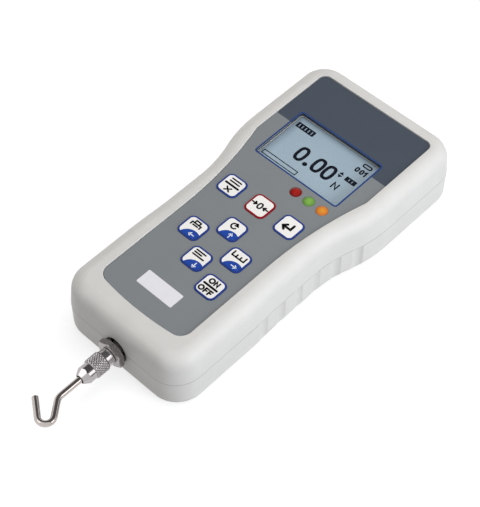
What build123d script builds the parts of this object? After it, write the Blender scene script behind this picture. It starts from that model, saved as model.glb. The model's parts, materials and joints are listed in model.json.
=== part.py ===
"""Hand-held digital force gauge with a wire hook on its measuring axis.

Frame: the gauge lies on its back. X points to the user's right, Y towards the display end, Z out of
the face. The origin is the centre of the four stand-mount threads on the flat back. The measuring axis
runs along -Y, out of the near end. All sizes are in millimetres.
"""
import os
from math import radians, sqrt, tan

from build123d import *

os.makedirs("parts", exist_ok=True)

# ---------------------------------------------------------------- housing, seen from the face
NEAR_Y = -64.8             # outer face of the spindle end
FAR_Y = 97.8               # outer face of the display end
LOWER_HALF = 33.0          # half width beside the lower keys
WAIST_HALF = 32.4          # half width at the grip
HEAD_HALF = 38.7           # half width beside the display
WAIST_BEND = (-26.0, -4.0)  # where the side runs in from the lower body to the waist
HEAD_BEND = (13.0, 52.0)    # where the side swings out from the waist to the head
NEAR_CORNER_R = 12.5
FAR_CORNER_R = 12.5

# ---------------------------------------------------------------- housing, seen from the side
PART_Z = 14.4              # parting plane of the two shells
RIM_Z = 28.0               # top of the raised rim round the face
RIM_DROP = 0.6             # rim top down to the face panel's surface
WALL = 2.4
FACE_WALL = 2.2            # wall under the face panel
SIDE_DRAFT = 6.0           # degrees, front shell
RIM_ROUND = 6.5            # round between side and rim
BACK_ROUND = 3.5           # round between side and back
RECESS_ROUND = 0.25        # round where the rim drops to the face panel
TONGUE_INSET = 1.3         # outer face of the tongue, in from the outer wall
TONGUE_HEIGHT = 1.2
TONGUE_GAP = 0.1

# ---------------------------------------------------------------- grip flutes in the rear shell
FLUTE_COUNT = 6            # on each side
FLUTE_PITCH = 10.2
FLUTE_MIDDLE_Y = 9.2
FLUTE_WIDTH = 5.2
FLUTE_DEPTH = 0.9

# ---------------------------------------------------------------- face panel
PANEL_T = 0.5
PANEL_GAP = 0.25           # panel edge to the rim
HEAD_RIM = 9.0             # housing side to the panel's side, beside the display
LOWER_RIM = 10.35          # the same beside the lower keys
PANEL_FAR_Y = 89.0
PANEL_NEAR_Y = -52.6       # lowest point of the bowed near edge
PANEL_BOW = 1.9            # rise of the near edge from its middle to its corners
PANEL_TAPER = (-4.3, 46.5)  # where the panel's side leaves the lower and the head width
PANEL_FAR_R = 3.2
PANEL_NECK_R = 7.0
PANEL_NEAR_R = 5.5

# ---------------------------------------------------------------- display
DISPLAY_Y = 51.5
WINDOW_SIZE = (43.5, 28.7)  # clear opening
WINDOW_R = 0.8
LENS_T = 1.0
LENS_LEDGE = 1.1           # lens edge beyond the opening
LENS_GAP = 0.1
GLASS_SIZE = (48.0, 31.6)
GLASS_T = 2.0
BEZEL_WALL = 1.0
BEZEL_LIP = 0.25
BEZEL_GAP = 0.1            # glass and backlight to the bezel, bezel to the face wall
POCKET_DEPTH = 0.7         # pocket in the face wall that the bezel stands in

# ---------------------------------------------------------------- keys
KEY_SIZE = (10.35, 10.5)
KEY_R = 2.6
KEY_PROUD = 0.3            # key top above the face panel
KEY_GAP = 0.1              # key to its hole
KEY_FLANGE = 0.8           # flange beyond the key on every side
KEY_FLANGE_T = 0.8
KEY_FLANGE_DROP = 0.3      # flange below the face wall
KEY_TRAVEL = 0.45
KEYS = {
    "key_menu": (-15.55, 16.2),
    "key_zero": (0.0, 16.2),
    "key_enter": (15.55, 16.2),
    "key_up": (0.0, 0.0),
    "key_left": (-11.55, -10.05),
    "key_right": (11.55, -10.05),
    "key_down": (0.0, -20.0),
    "key_power": (13.4, -26.1),
}
SWITCH_SIZE = 6.0
SWITCH_HEIGHT = 3.0
SWITCH_FLOOR = 1.0         # floor left under the plunger
PLUNGER_R = 1.7
PLUNGER_GAP = 0.05

# ---------------------------------------------------------------- signal lamps
LAMP_R = 2.5
LAMP_FLANGE = 0.4          # flange beyond the lamp
LAMP_FLANGE_T = 1.0
LAMP_DOME = 0.45           # dome above the face panel
LAMP_GAP = 0.1
LAMP_Y = 31.6
LAMPS = {"lamp_red": 5.35, "lamp_green": 12.4, "lamp_orange": 19.45}

# ---------------------------------------------------------------- main board
BOARD_Z = 19.6             # top face
BOARD_T = 1.6
BOARD_HALF = 27.0
BOARD_NEAR_Y = -37.0
BOARD_FAR_Y = 78.0
BOARD_SCREWS = [(23.8, 25.2), (23.8, 73.5), (23.8, -33.0)]
BOARD_BOSS_R = 2.8
BUZZER_AT = (-12.0, 29.0)
BUZZER_R = 4.5
BUZZER_H = 3.6

# ---------------------------------------------------------------- screws and inserts
FIT = 0.05                 # clearance of a screw in its thread, and of a shaft in its bore
CASE_SCREW_NEAR_IN = (8.0, 8.6)  # in from the housing's side and end
CASE_SCREW_FAR_IN = (7.9, 8.2)
CASE_BOSS_R = 3.6
CASE_SHANK_R = 1.5
CASE_HEAD_R = 2.8
CASE_HEAD_T = 2.0
CASE_HEAD_SUNK = 0.8       # head below the back
CASE_SEAT_Z = 3.4          # shoulder under the head
CASE_SCREW_TIP_Z = 20.0
BOARD_SHANK_R = 1.2
BOARD_HEAD_R = 2.2
BOARD_HEAD_T = 1.5
BOARD_SCREW_BITE = 3.6     # length inside the boss
CROSS_SLOT = (0.7, 3.2, 0.9)  # width, span and depth of a cross recess
MOUNT_SPACING = (44.0, 70.0)
INSERT_OUTER_R = 2.9
INSERT_BORE_R = 1.65       # core of an M4 thread
INSERT_LENGTH = 6.5
INSERT_BOSS_R = 4.8

# ---------------------------------------------------------------- measuring axis
AXIS_Z = 12.7
SPINDLE_R = 3.0
SPINDLE_HOLE_R = 5.7
SPINDLE_BITE = 7.0         # thread inside the load cell
SPINDLE_COLLAR_R = 4.4
SPINDLE_COLLAR_T = 2.0
NUT_BACK_Y = -65.8
NUT_T = 2.6
NUT_FLATS = 11.5
NUT_CHAMFER = 0.35         # length of the corner rounding on each face
SEAT_GAP = 0.05            # between faces that turn against each other
COLLAR_R = 3.7
COLLAR_LENGTH = 3.15
KNURL_R = 4.35
KNURL_LENGTH = 6.3
KNURL_CHAMFER = 0.45
SOCKET_DEPTH = 3.5         # spindle thread inside the chuck
SPIGOT_R = 2.9
SPIGOT_LENGTH = 2.2
NOSE_R = 3.75
NOSE_BARREL = 2.75
NOSE_TAPER_LENGTH = 2.85
NOSE_MOUTH_R = 2.15
NOSE_FACETS = 8
NOSE_FACET_TURN = 25.1     # degrees, one edge of the facets from +Z
COLLET_R = 1.9
COLLET_LENGTH = 8.8
COLLET_PROUD = -0.25       # collet end beyond the nose
COLLET_SLOT = 0.35
COLLET_SLITS = 3
COLLET_SLIT_LENGTH = 4.5

# ---------------------------------------------------------------- hook
WIRE_R = 1.4
WIRE_FIT = 0.03
WIRE_GRIP = 7.5            # wire inside the collet
SHANK_END_Y = -93.2
NECK_R = 4.9
NECK_TURN = 38.0
NECK_RUN = 6.7
CROOK_R = 3.1
CROOK_TURN = 164.0
TIP_RUN = 9.4
TIP_ROUND = 0.45

# ---------------------------------------------------------------- load cell and its bracket
CELL_NEAR_Y = -52.0
CELL_SIZE = (26.0, 32.0, 10.0)
CELL_SLIT = 1.2
CELL_SLIT_FROM_END = 8.0
CELL_WEB = 4.5
CELL_EYE_R = 3.2
CELL_EYE_X = 5.0
CELL_EYE_SLOT = 1.8
BOLT_R = 2.5
BOLT_BITE = 7.0
BOLT_HEAD_R = 4.25
BOLT_HEAD_T = 5.0
BOLT_SOCKET_AF = 4.0
BOLT_SOCKET_DEPTH = 2.6
BOLT_CLEARANCE = 0.2
BRACKET_T = 4.0
BRACKET_FOOT_T = 3.0
BRACKET_FOOT_LENGTH = 20.0
BRACKET_FOOT_Z = 5.4
BRACKET_TOP_GAP = 0.4      # bracket below the load cell's top
BRACKET_SCREW_X = 8.5
BRACKET_SCREW_Y = (5.5, 14.5)  # from the back of the upright
BRACKET_BOSS_R = 3.6

# ---------------------------------------------------------------- battery
CELL_COUNT = 4
BATTERY_CELL_R = 5.25
BATTERY_CELL_LENGTH = 44.5
BATTERY_NEAR_Y = 41.4
BATTERY_LIFT = 1.2         # sleeve above the floor
SLEEVE_T = 0.4
TRAY_WALL = 1.4
TRAY_HEIGHT = 6.5

# ---------------------------------------------------------------- sockets in the far wall
IO_BOARD_SIZE = (46.0, 10.6, 1.6)
IO_BOARD_Z = 4.4
IO_POST_R = 2.6
IO_POST_X = 19.0
JACK_X = 12.0
JACK_SIZE = (9.0, 10.2, 8.0)
JACK_NOSE_R = 4.0
JACK_BORE_R = 2.75
JACK_BORE_DEPTH = 9.0
JACK_PIN_R = 1.0
DATA_X = -12.0
DATA_SIZE = (7.7, 9.6, 4.0)
DATA_WALL = 0.4
DATA_TONGUE = (5.0, 6.5, 1.0)
SOCKET_RECESS = 0.5        # sockets behind the outer face
SOCKET_GAP = 0.2

# ---------------------------------------------------------------- worked out from the above
PANEL_HEAD_HALF = HEAD_HALF - HEAD_RIM
PANEL_LOWER_HALF = LOWER_HALF - LOWER_RIM
CASE_SCREWS = [
    (LOWER_HALF - CASE_SCREW_NEAR_IN[0], NEAR_Y + CASE_SCREW_NEAR_IN[1]),
    (HEAD_HALF - CASE_SCREW_FAR_IN[0], FAR_Y - CASE_SCREW_FAR_IN[1]),
]
FACE_Z = RIM_Z - RIM_DROP
SEAT_Z = FACE_Z - PANEL_T
CEILING_Z = SEAT_Z - FACE_WALL
FLOOR_Z = WALL
INNER_NEAR_Y = NEAR_Y + WALL
INNER_FAR_Y = FAR_Y - WALL
BOARD_UNDER_Z = BOARD_Z - BOARD_T
BEZEL_SIZE = tuple(side + 2 * (BEZEL_GAP + BEZEL_WALL) for side in GLASS_SIZE)
BEZEL_TOP_Z = CEILING_Z + POCKET_DEPTH - BEZEL_GAP
GLASS_TOP_Z = BEZEL_TOP_Z - BEZEL_LIP
NUT_FRONT_Y = NUT_BACK_Y - NUT_T
CHUCK_BACK_Y = NUT_FRONT_Y - SEAT_GAP
KNURL_BACK_Y = CHUCK_BACK_Y - COLLAR_LENGTH
KNURL_FRONT_Y = KNURL_BACK_Y - KNURL_LENGTH
NOSE_BACK_Y = KNURL_FRONT_Y - SEAT_GAP
NOSE_SHOULDER_Y = NOSE_BACK_Y - NOSE_BARREL
NOSE_FRONT_Y = NOSE_SHOULDER_Y - NOSE_TAPER_LENGTH
SPIGOT_FRONT_Y = KNURL_FRONT_Y - SPIGOT_LENGTH
SPINDLE_FRONT_Y = CHUCK_BACK_Y - SOCKET_DEPTH + 2 * FIT
COLLET_FRONT_Y = NOSE_FRONT_Y - COLLET_PROUD
COLLET_BACK_Y = COLLET_FRONT_Y + COLLET_LENGTH
WIRE_BACK_Y = COLLET_FRONT_Y + WIRE_GRIP
CELL_FAR_Y = CELL_NEAR_Y + CELL_SIZE[1]
CELL_MIDDLE_Y = (CELL_NEAR_Y + CELL_FAR_Y) / 2
CELL_TOP_Z = AXIS_Z + CELL_SIZE[2] / 2
BRACKET_BACK_Y = CELL_FAR_Y + BRACKET_T
IO_BOARD_TOP_Z = IO_BOARD_Z + IO_BOARD_SIZE[2]
JACK_AXIS_Z = IO_BOARD_TOP_Z + JACK_SIZE[2] / 2
DATA_AXIS_Z = IO_BOARD_TOP_Z + DATA_SIZE[2] / 2
SOCKET_FACE_Y = FAR_Y - SOCKET_RECESS
BATTERY_AXIS_Z = FLOOR_Z + BATTERY_LIFT + SLEEVE_T + BATTERY_CELL_R
BATTERY_MIDDLE_Y = BATTERY_NEAR_Y + SLEEVE_T + CELL_COUNT * BATTERY_CELL_R


def save(part, name):
    """Label a finished piece and write it as one STEP file."""
    part.label = name
    export_step(part, f"parts/{name}.step")


def across(y, z=AXIS_Z):
    """The plane square to the measuring axis at y, its Z pointing out of the near end."""
    return Plane(origin=(0, y, z), x_dir=(1, 0, 0), z_dir=(0, -1, 0))


def both_sides(points):
    """The points and their mirror images in the gauge's middle plane."""
    return [(side * x, y) for x, y in points for side in (-1, 1)]


def s_bend(start, end):
    """Two equal arcs in one line, tangent to Y at both ends."""
    middle = ((start[0] + end[0]) / 2, (start[1] + end[1]) / 2)
    first = TangentArc(start, middle, tangent=(0, 1))
    TangentArc(middle, end, tangent=first % 1)


def half_width(y):
    """Half width of the housing at the parting plane, between its corners."""
    for (y_0, y_1), w_0, w_1 in ((WAIST_BEND, LOWER_HALF, WAIST_HALF), (HEAD_BEND, WAIST_HALF, HEAD_HALF)):
        if y <= y_0:
            return w_0
        if y < y_1:
            rise, run = (w_1 - w_0) / 2, (y_1 - y_0) / 2
            radius = (rise**2 + run**2) / (2 * abs(rise))
            near_end = y < (y_0 + y_1) / 2
            from_end = y - y_0 if near_end else y_1 - y
            sag = (radius - sqrt(radius**2 - from_end**2)) * (1 if rise > 0 else -1)
            return w_0 + sag if near_end else w_1 - sag
    return HEAD_HALF


def crosses(z, points):
    """Cross recesses for screw heads that face along Z."""
    width, span, _ = CROSS_SLOT
    with BuildSketch(Plane.XY.offset(z)) as marks:
        with Locations(*points):
            Rectangle(width, span)
            Rectangle(span, width)
    return marks.sketch


def body_face(inset=0.0):
    """Fill the housing's outline, moved in by inset, in the open sketch."""
    near_y, far_y = NEAR_Y + inset, FAR_Y - inset
    lower, waist, head = (half - inset for half in (LOWER_HALF, WAIST_HALF, HEAD_HALF))
    with BuildSketch(mode=Mode.PRIVATE) as face:
        with BuildLine():
            with BuildLine() as side:
                Line((lower, near_y), (lower, WAIST_BEND[0]))
                s_bend((lower, WAIST_BEND[0]), (waist, WAIST_BEND[1]))
                Line((waist, WAIST_BEND[1]), (waist, HEAD_BEND[0]))
                s_bend((waist, HEAD_BEND[0]), (head, HEAD_BEND[1]))
                Line((head, HEAD_BEND[1]), (head, far_y))
            mirror(side.line, about=Plane.YZ)
            Line((-lower, near_y), (lower, near_y))
            Line((-head, far_y), (head, far_y))
        make_face()
        fillet(face.vertices().group_by(Axis.Y)[0], NEAR_CORNER_R - inset)
        fillet(face.vertices().group_by(Axis.Y)[-1], FAR_CORNER_R - inset)
    add(face.sketch)


def panel_face(grow=0.0):
    """Fill the face panel's outline, grown on every side, in the open sketch."""
    lower, head = PANEL_LOWER_HALF + grow, PANEL_HEAD_HALF + grow
    near_y, far_y = PANEL_NEAR_Y + PANEL_BOW - grow, PANEL_FAR_Y + grow
    with BuildSketch(mode=Mode.PRIVATE) as face:
        with BuildLine():
            with BuildLine() as side:
                Line((lower, near_y), (lower, PANEL_TAPER[0]))
                TangentArc((lower, PANEL_TAPER[0]), (head, PANEL_TAPER[1]), tangent=(0, 1))
                Line((head, PANEL_TAPER[1]), (head, far_y))
            mirror(side.line, about=Plane.YZ)
            ThreePointArc((-lower, near_y), (0, near_y - PANEL_BOW), (lower, near_y))
            Line((-head, far_y), (head, far_y))
        make_face()
        for y, radius in ((far_y, PANEL_FAR_R), (PANEL_TAPER[1], PANEL_NECK_R), (near_y, PANEL_NEAR_R)):
            fillet(face.vertices().filter_by_position(Axis.Y, y - FIT, y + FIT), radius)
    add(face.sketch)


def leaning(inset, top_z):
    """The outline at the parting plane and at top_z, drawn in between them by the side draft."""
    sections = []
    for z, draft in ((PART_Z, 0.0), (top_z, (top_z - PART_Z) * tan(radians(SIDE_DRAFT)))):
        with BuildSketch(Plane.XY.offset(z)) as section:
            body_face(inset + draft)
        sections.append(section.sketch)
    return sections


# ================================================================ front housing
with BuildPart() as front_housing:
    loft(leaning(0.0, RIM_Z), ruled=True)
    fillet(front_housing.edges().group_by(Axis.Z)[-1], RIM_ROUND)
    # hollow, with an even wall
    with BuildPart(mode=Mode.PRIVATE) as front_hollow:
        loft(leaning(WALL, CEILING_Z), ruled=True)
        fillet(front_hollow.edges().group_by(Axis.Z)[-1], RIM_ROUND - WALL)
    add(front_hollow.part, mode=Mode.SUBTRACT)
    # groove for the rear shell's tongue
    with BuildSketch(Plane.XY.offset(PART_Z)):
        body_face(TONGUE_INSET - TONGUE_GAP)
    extrude(amount=TONGUE_HEIGHT + TONGUE_GAP, mode=Mode.SUBTRACT)
    # recess for the face panel
    with BuildSketch(Plane.XY.offset(SEAT_Z)):
        panel_face(PANEL_GAP)
    extrude(amount=RIM_Z - SEAT_Z, mode=Mode.SUBTRACT)
    rim_edges = front_housing.faces().filter_by(Axis.Z).sort_by(Axis.Z)[-1].inner_wires().edges()
    fillet(rim_edges, RECESS_ROUND)
    # screw bosses, down to the parting plane and down to the board
    with BuildSketch(Plane.XY.offset(PART_Z)):
        with Locations(*both_sides(CASE_SCREWS)):
            Circle(CASE_BOSS_R)
    extrude(amount=CEILING_Z - PART_Z)
    with BuildSketch(Plane.XY.offset(BOARD_Z)):
        with Locations(*both_sides(BOARD_SCREWS)):
            Circle(BOARD_BOSS_R)
    extrude(amount=CEILING_Z - BOARD_Z)
    with BuildSketch(Plane.XY.offset(PART_Z)):
        with Locations(*both_sides(CASE_SCREWS)):
            Circle(CASE_SHANK_R + FIT)
    extrude(amount=CASE_SCREW_TIP_Z + CASE_SHANK_R - PART_Z, mode=Mode.SUBTRACT)
    with BuildSketch(Plane.XY.offset(BOARD_Z)):
        with Locations(*both_sides(BOARD_SCREWS)):
            Circle(BOARD_SHANK_R + FIT)
    extrude(amount=BOARD_SCREW_BITE + FIT, mode=Mode.SUBTRACT)
    # display window, with a ledge for the lens
    with BuildSketch(Plane.XY.offset(CEILING_Z)):
        with Locations((0, DISPLAY_Y)):
            RectangleRounded(*WINDOW_SIZE, WINDOW_R)
    extrude(amount=RIM_Z - CEILING_Z, mode=Mode.SUBTRACT)
    with BuildSketch(Plane.XY.offset(SEAT_Z - LENS_T)):
        with Locations((0, DISPLAY_Y)):
            ledge = LENS_LEDGE + LENS_GAP
            RectangleRounded(WINDOW_SIZE[0] + 2 * ledge, WINDOW_SIZE[1] + 2 * ledge, WINDOW_R + ledge)
    extrude(amount=LENS_T, mode=Mode.SUBTRACT)
    # pocket for the display's bezel
    with BuildSketch(Plane.XY.offset(CEILING_Z)):
        with Locations((0, DISPLAY_Y)):
            Rectangle(BEZEL_SIZE[0] + 2 * BEZEL_GAP, BEZEL_SIZE[1] + 2 * BEZEL_GAP)
    extrude(amount=POCKET_DEPTH, mode=Mode.SUBTRACT)
    # holes for the keys and lamps
    with BuildSketch(Plane.XY.offset(CEILING_Z)):
        with Locations(*KEYS.values()):
            RectangleRounded(KEY_SIZE[0] + 2 * KEY_GAP, KEY_SIZE[1] + 2 * KEY_GAP, KEY_R + KEY_GAP)
        with Locations(*[(x, LAMP_Y) for x in LAMPS.values()]):
            Circle(LAMP_R + LAMP_GAP)
    extrude(amount=FACE_WALL, mode=Mode.SUBTRACT)
    # half of the spindle hole
    with BuildSketch(across(INNER_NEAR_Y + WALL)):
        Circle(SPINDLE_HOLE_R)
    extrude(amount=3 * WALL, mode=Mode.SUBTRACT)
save(front_housing.part, "front_housing")

# ================================================================ rear housing
with BuildPart() as rear_housing:
    with BuildSketch():
        body_face()
    extrude(amount=PART_Z)
    fillet(rear_housing.edges().group_by(Axis.Z)[0], BACK_ROUND)
    # tongue that locates the front shell
    with BuildSketch(Plane.XY.offset(PART_Z)):
        body_face(TONGUE_INSET)
    extrude(amount=TONGUE_HEIGHT)
    with BuildSketch(Plane.XY.offset(FLOOR_Z)):
        body_face(WALL)
    extrude(amount=PART_Z + TONGUE_HEIGHT - FLOOR_Z, mode=Mode.SUBTRACT)
    # grip flutes down both sides
    flute_r = (FLUTE_DEPTH**2 + (FLUTE_WIDTH / 2) ** 2) / (2 * FLUTE_DEPTH)
    flute_ys = [FLUTE_MIDDLE_Y + (i - (FLUTE_COUNT - 1) / 2) * FLUTE_PITCH for i in range(FLUTE_COUNT)]
    with BuildSketch():
        with Locations(*both_sides([(half_width(y) + flute_r - FLUTE_DEPTH, y) for y in flute_ys])):
            Circle(flute_r)
    extrude(amount=PART_Z, mode=Mode.SUBTRACT)
    # bosses for the case screws, the stand inserts, the bracket and the socket board
    with BuildSketch(Plane.XY.offset(FLOOR_Z)):
        with Locations(*both_sides(CASE_SCREWS)):
            Circle(CASE_BOSS_R)
    extrude(amount=PART_Z - FLOOR_Z)
    with BuildSketch(Plane.XY.offset(FLOOR_Z)):
        with GridLocations(*MOUNT_SPACING, 2, 2):
            Circle(INSERT_BOSS_R)
    extrude(amount=INSERT_LENGTH + WALL - FLOOR_Z)
    bracket_screws = both_sides([(BRACKET_SCREW_X, BRACKET_BACK_Y + y) for y in BRACKET_SCREW_Y])
    with BuildSketch(Plane.XY.offset(FLOOR_Z)):
        with Locations(*bracket_screws):
            Circle(BRACKET_BOSS_R)
    extrude(amount=BRACKET_FOOT_Z - FLOOR_Z)
    io_board_y = INNER_FAR_Y - FIT - IO_BOARD_SIZE[1] / 2
    with BuildSketch(Plane.XY.offset(FLOOR_Z)):
        with Locations((-IO_POST_X, io_board_y), (IO_POST_X, io_board_y)):
            Circle(IO_POST_R)
    extrude(amount=IO_BOARD_Z - FLOOR_Z)
    # tray walls round the battery
    tray_x = BATTERY_CELL_LENGTH / 2 + SLEEVE_T + FIT
    tray_length = 2 * CELL_COUNT * BATTERY_CELL_R + 2 * SLEEVE_T
    with BuildSketch(Plane.XY.offset(FLOOR_Z)):
        with Locations((0, BATTERY_MIDDLE_Y)):
            Rectangle(2 * (tray_x + TRAY_WALL), tray_length * 0.7)
            Rectangle(2 * tray_x, tray_length, mode=Mode.SUBTRACT)
    extrude(amount=TRAY_HEIGHT)
    with BuildSketch(Plane.XY.offset(FLOOR_Z)):
        with Locations((0, BATTERY_MIDDLE_Y)):
            with GridLocations(BATTERY_CELL_LENGTH * 0.6, 0, 2, 1):
                Rectangle(TRAY_WALL, tray_length * 0.9)
    extrude(amount=BATTERY_LIFT)
    # screw holes, from the back
    with BuildSketch():
        with Locations(*both_sides(CASE_SCREWS)):
            Circle(CASE_SHANK_R + 4 * FIT)
    extrude(amount=PART_Z, mode=Mode.SUBTRACT)
    with BuildSketch():
        with Locations(*both_sides(CASE_SCREWS)):
            Circle(CASE_HEAD_R + 4 * FIT)
    extrude(amount=CASE_SEAT_Z, mode=Mode.SUBTRACT)
    with BuildSketch():
        with GridLocations(*MOUNT_SPACING, 2, 2):
            Circle(INSERT_OUTER_R + FIT)
    extrude(amount=INSERT_LENGTH, mode=Mode.SUBTRACT)
    with BuildSketch(Plane.XY.offset(WALL / 2)):
        with Locations(*bracket_screws):
            Circle(BOARD_SHANK_R + FIT)
    extrude(amount=BRACKET_FOOT_Z - WALL / 2, mode=Mode.SUBTRACT)
    # the other half of the spindle hole
    with BuildSketch(across(INNER_NEAR_Y + WALL)):
        Circle(SPINDLE_HOLE_R)
    extrude(amount=3 * WALL, mode=Mode.SUBTRACT)
    # ways out for the sockets
    with BuildSketch(across(INNER_FAR_Y - FIT, JACK_AXIS_Z)):
        with Locations((JACK_X, 0)):
            Circle(JACK_NOSE_R + SOCKET_GAP)
    extrude(amount=-2 * WALL, mode=Mode.SUBTRACT)
    with BuildSketch(across(INNER_FAR_Y - FIT, DATA_AXIS_Z)):
        with Locations((DATA_X, 0)):
            Rectangle(DATA_SIZE[0] + 2 * SOCKET_GAP, DATA_SIZE[2] + 2 * SOCKET_GAP)
    extrude(amount=-2 * WALL, mode=Mode.SUBTRACT)
save(rear_housing.part, "rear_housing")

# ================================================================ face panel and lens
with BuildPart() as face_panel:
    with BuildSketch(Plane.XY.offset(SEAT_Z)):
        panel_face()
        with Locations((0, DISPLAY_Y)):
            RectangleRounded(*WINDOW_SIZE, WINDOW_R, mode=Mode.SUBTRACT)
        with Locations(*KEYS.values()):
            RectangleRounded(
                KEY_SIZE[0] + 2 * KEY_GAP, KEY_SIZE[1] + 2 * KEY_GAP, KEY_R + KEY_GAP, mode=Mode.SUBTRACT
            )
        with Locations(*[(x, LAMP_Y) for x in LAMPS.values()]):
            Circle(LAMP_R + LAMP_GAP, mode=Mode.SUBTRACT)
    extrude(amount=PANEL_T)
save(face_panel.part, "face_panel")

with BuildPart() as display_window:
    with BuildSketch(Plane.XY.offset(SEAT_Z - LENS_T)):
        with Locations((0, DISPLAY_Y)):
            RectangleRounded(
                WINDOW_SIZE[0] + 2 * LENS_LEDGE, WINDOW_SIZE[1] + 2 * LENS_LEDGE, WINDOW_R + LENS_LEDGE
            )
    extrude(amount=LENS_T)
save(display_window.part, "display_window")

# ================================================================ display module
with BuildPart() as lcd_bezel:
    with BuildSketch(Plane.XY.offset(BOARD_Z)):
        with Locations((0, DISPLAY_Y)):
            Rectangle(*BEZEL_SIZE)
            Rectangle(GLASS_SIZE[0] + 2 * BEZEL_GAP, GLASS_SIZE[1] + 2 * BEZEL_GAP, mode=Mode.SUBTRACT)
    extrude(amount=GLASS_TOP_Z - BOARD_Z)
    with BuildSketch(Plane.XY.offset(GLASS_TOP_Z)):
        with Locations((0, DISPLAY_Y)):
            Rectangle(*BEZEL_SIZE)
            Rectangle(WINDOW_SIZE[0] + BEZEL_WALL, WINDOW_SIZE[1] + BEZEL_WALL, mode=Mode.SUBTRACT)
    extrude(amount=BEZEL_LIP)
    chamfer(lcd_bezel.edges().filter_by(Axis.Z).group_by(SortBy.LENGTH)[-1], BEZEL_WALL / 2)
save(lcd_bezel.part, "lcd_bezel")

with BuildPart() as lcd_glass:
    with BuildSketch(Plane.XY.offset(GLASS_TOP_Z - GLASS_T)):
        with Locations((0, DISPLAY_Y)):
            Rectangle(*GLASS_SIZE)
    extrude(amount=GLASS_T)
save(lcd_glass.part, "lcd_glass")

with BuildPart() as lcd_backlight:
    with BuildSketch(Plane.XY.offset(BOARD_Z)):
        with Locations((0, DISPLAY_Y)):
            Rectangle(*GLASS_SIZE)
    extrude(amount=GLASS_TOP_Z - GLASS_T - BOARD_Z)
save(lcd_backlight.part, "lcd_backlight")

# ================================================================ main board and what it carries
with BuildPart() as main_board:
    with BuildSketch(Plane.XY.offset(BOARD_UNDER_Z)):
        with Locations((0, (BOARD_NEAR_Y + BOARD_FAR_Y) / 2)):
            RectangleRounded(2 * BOARD_HALF, BOARD_FAR_Y - BOARD_NEAR_Y, BOARD_SHANK_R)
        with Locations(*both_sides(BOARD_SCREWS)):
            Circle(BOARD_SHANK_R + 2 * FIT, mode=Mode.SUBTRACT)
    extrude(amount=BOARD_T)
save(main_board.part, "main_board")

with BuildPart() as board_screws:
    with BuildSketch(Plane.XY.offset(BOARD_UNDER_Z - BOARD_HEAD_T)):
        with Locations(*both_sides(BOARD_SCREWS)):
            Circle(BOARD_HEAD_R)
    extrude(amount=BOARD_HEAD_T)
    with BuildSketch(Plane.XY.offset(BOARD_UNDER_Z)):
        with Locations(*both_sides(BOARD_SCREWS)):
            Circle(BOARD_SHANK_R)
    extrude(amount=BOARD_T + BOARD_SCREW_BITE)
    board_crosses = crosses(BOARD_UNDER_Z - BOARD_HEAD_T, both_sides(BOARD_SCREWS))
    extrude(board_crosses, amount=CROSS_SLOT[2], mode=Mode.SUBTRACT)
save(board_screws.part, "board_screws")

with BuildPart() as key_switches:
    with BuildSketch(Plane.XY.offset(BOARD_Z)):
        with Locations(*KEYS.values()):
            Rectangle(SWITCH_SIZE, SWITCH_SIZE)
    extrude(amount=SWITCH_HEIGHT)
    chamfer(key_switches.edges().filter_by(Axis.Z), SWITCH_SIZE / 10)
    with BuildSketch(Plane.XY.offset(BOARD_Z + SWITCH_FLOOR)):
        with Locations(*KEYS.values()):
            Circle(PLUNGER_R + PLUNGER_GAP)
    extrude(amount=SWITCH_HEIGHT - SWITCH_FLOOR, mode=Mode.SUBTRACT)
save(key_switches.part, "key_switches")

with BuildPart() as buzzer:
    with BuildSketch(Plane.XY.offset(BOARD_UNDER_Z)):
        with Locations(BUZZER_AT):
            Circle(BUZZER_R)
    extrude(amount=-BUZZER_H)
    with BuildSketch(Plane.XY.offset(BOARD_UNDER_Z - BUZZER_H)):
        with Locations(BUZZER_AT):
            Circle(BUZZER_R / 5)
    extrude(amount=BUZZER_H / 3, mode=Mode.SUBTRACT)
save(buzzer.part, "buzzer")

# ================================================================ keys
FLANGE_TOP_Z = CEILING_Z - KEY_FLANGE_DROP
FLANGE_UNDER_Z = FLANGE_TOP_Z - KEY_FLANGE_T
PLUNGER_END_Z = BOARD_Z + SWITCH_FLOOR + KEY_TRAVEL + 2 * PLUNGER_GAP
for key_name, place in KEYS.items():
    with BuildPart() as key:
        with BuildSketch(Plane.XY.offset(FLANGE_TOP_Z)):
            with Locations(place):
                RectangleRounded(*KEY_SIZE, KEY_R)
        extrude(amount=FACE_Z + KEY_PROUD - FLANGE_TOP_Z)
        fillet(key.edges().group_by(Axis.Z)[-1], KEY_PROUD / 2)
        with BuildSketch(Plane.XY.offset(FLANGE_UNDER_Z)):
            with Locations(place):
                RectangleRounded(
                    KEY_SIZE[0] + 2 * KEY_FLANGE, KEY_SIZE[1] + 2 * KEY_FLANGE, KEY_R + KEY_FLANGE
                )
        extrude(amount=KEY_FLANGE_T)
        with BuildSketch(Plane.XY.offset(PLUNGER_END_Z)):
            with Locations(place):
                Circle(PLUNGER_R)
        extrude(amount=FLANGE_UNDER_Z - PLUNGER_END_Z)
    save(key.part, key_name)

# ================================================================ signal lamps
for lamp_name, lamp_x in LAMPS.items():
    with BuildPart() as lamp:
        with BuildSketch(Plane.XZ):
            with BuildLine():
                foot_r = LAMP_R + LAMP_FLANGE
                foot_z = BOARD_Z + LAMP_FLANGE_T
                Polyline((0, FACE_Z + LAMP_DOME), (0, BOARD_Z), (foot_r, BOARD_Z), (foot_r, foot_z))
                Polyline((foot_r, foot_z), (LAMP_R, foot_z), (LAMP_R, FACE_Z))
                dome_r = (LAMP_R**2 + LAMP_DOME**2) / (2 * LAMP_DOME)
                RadiusArc((LAMP_R, FACE_Z), (0, FACE_Z + LAMP_DOME), -dome_r)
            make_face()
        revolve(axis=Axis.Z)
    save(lamp.part.move(Location((lamp_x, LAMP_Y, 0))), lamp_name)

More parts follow.
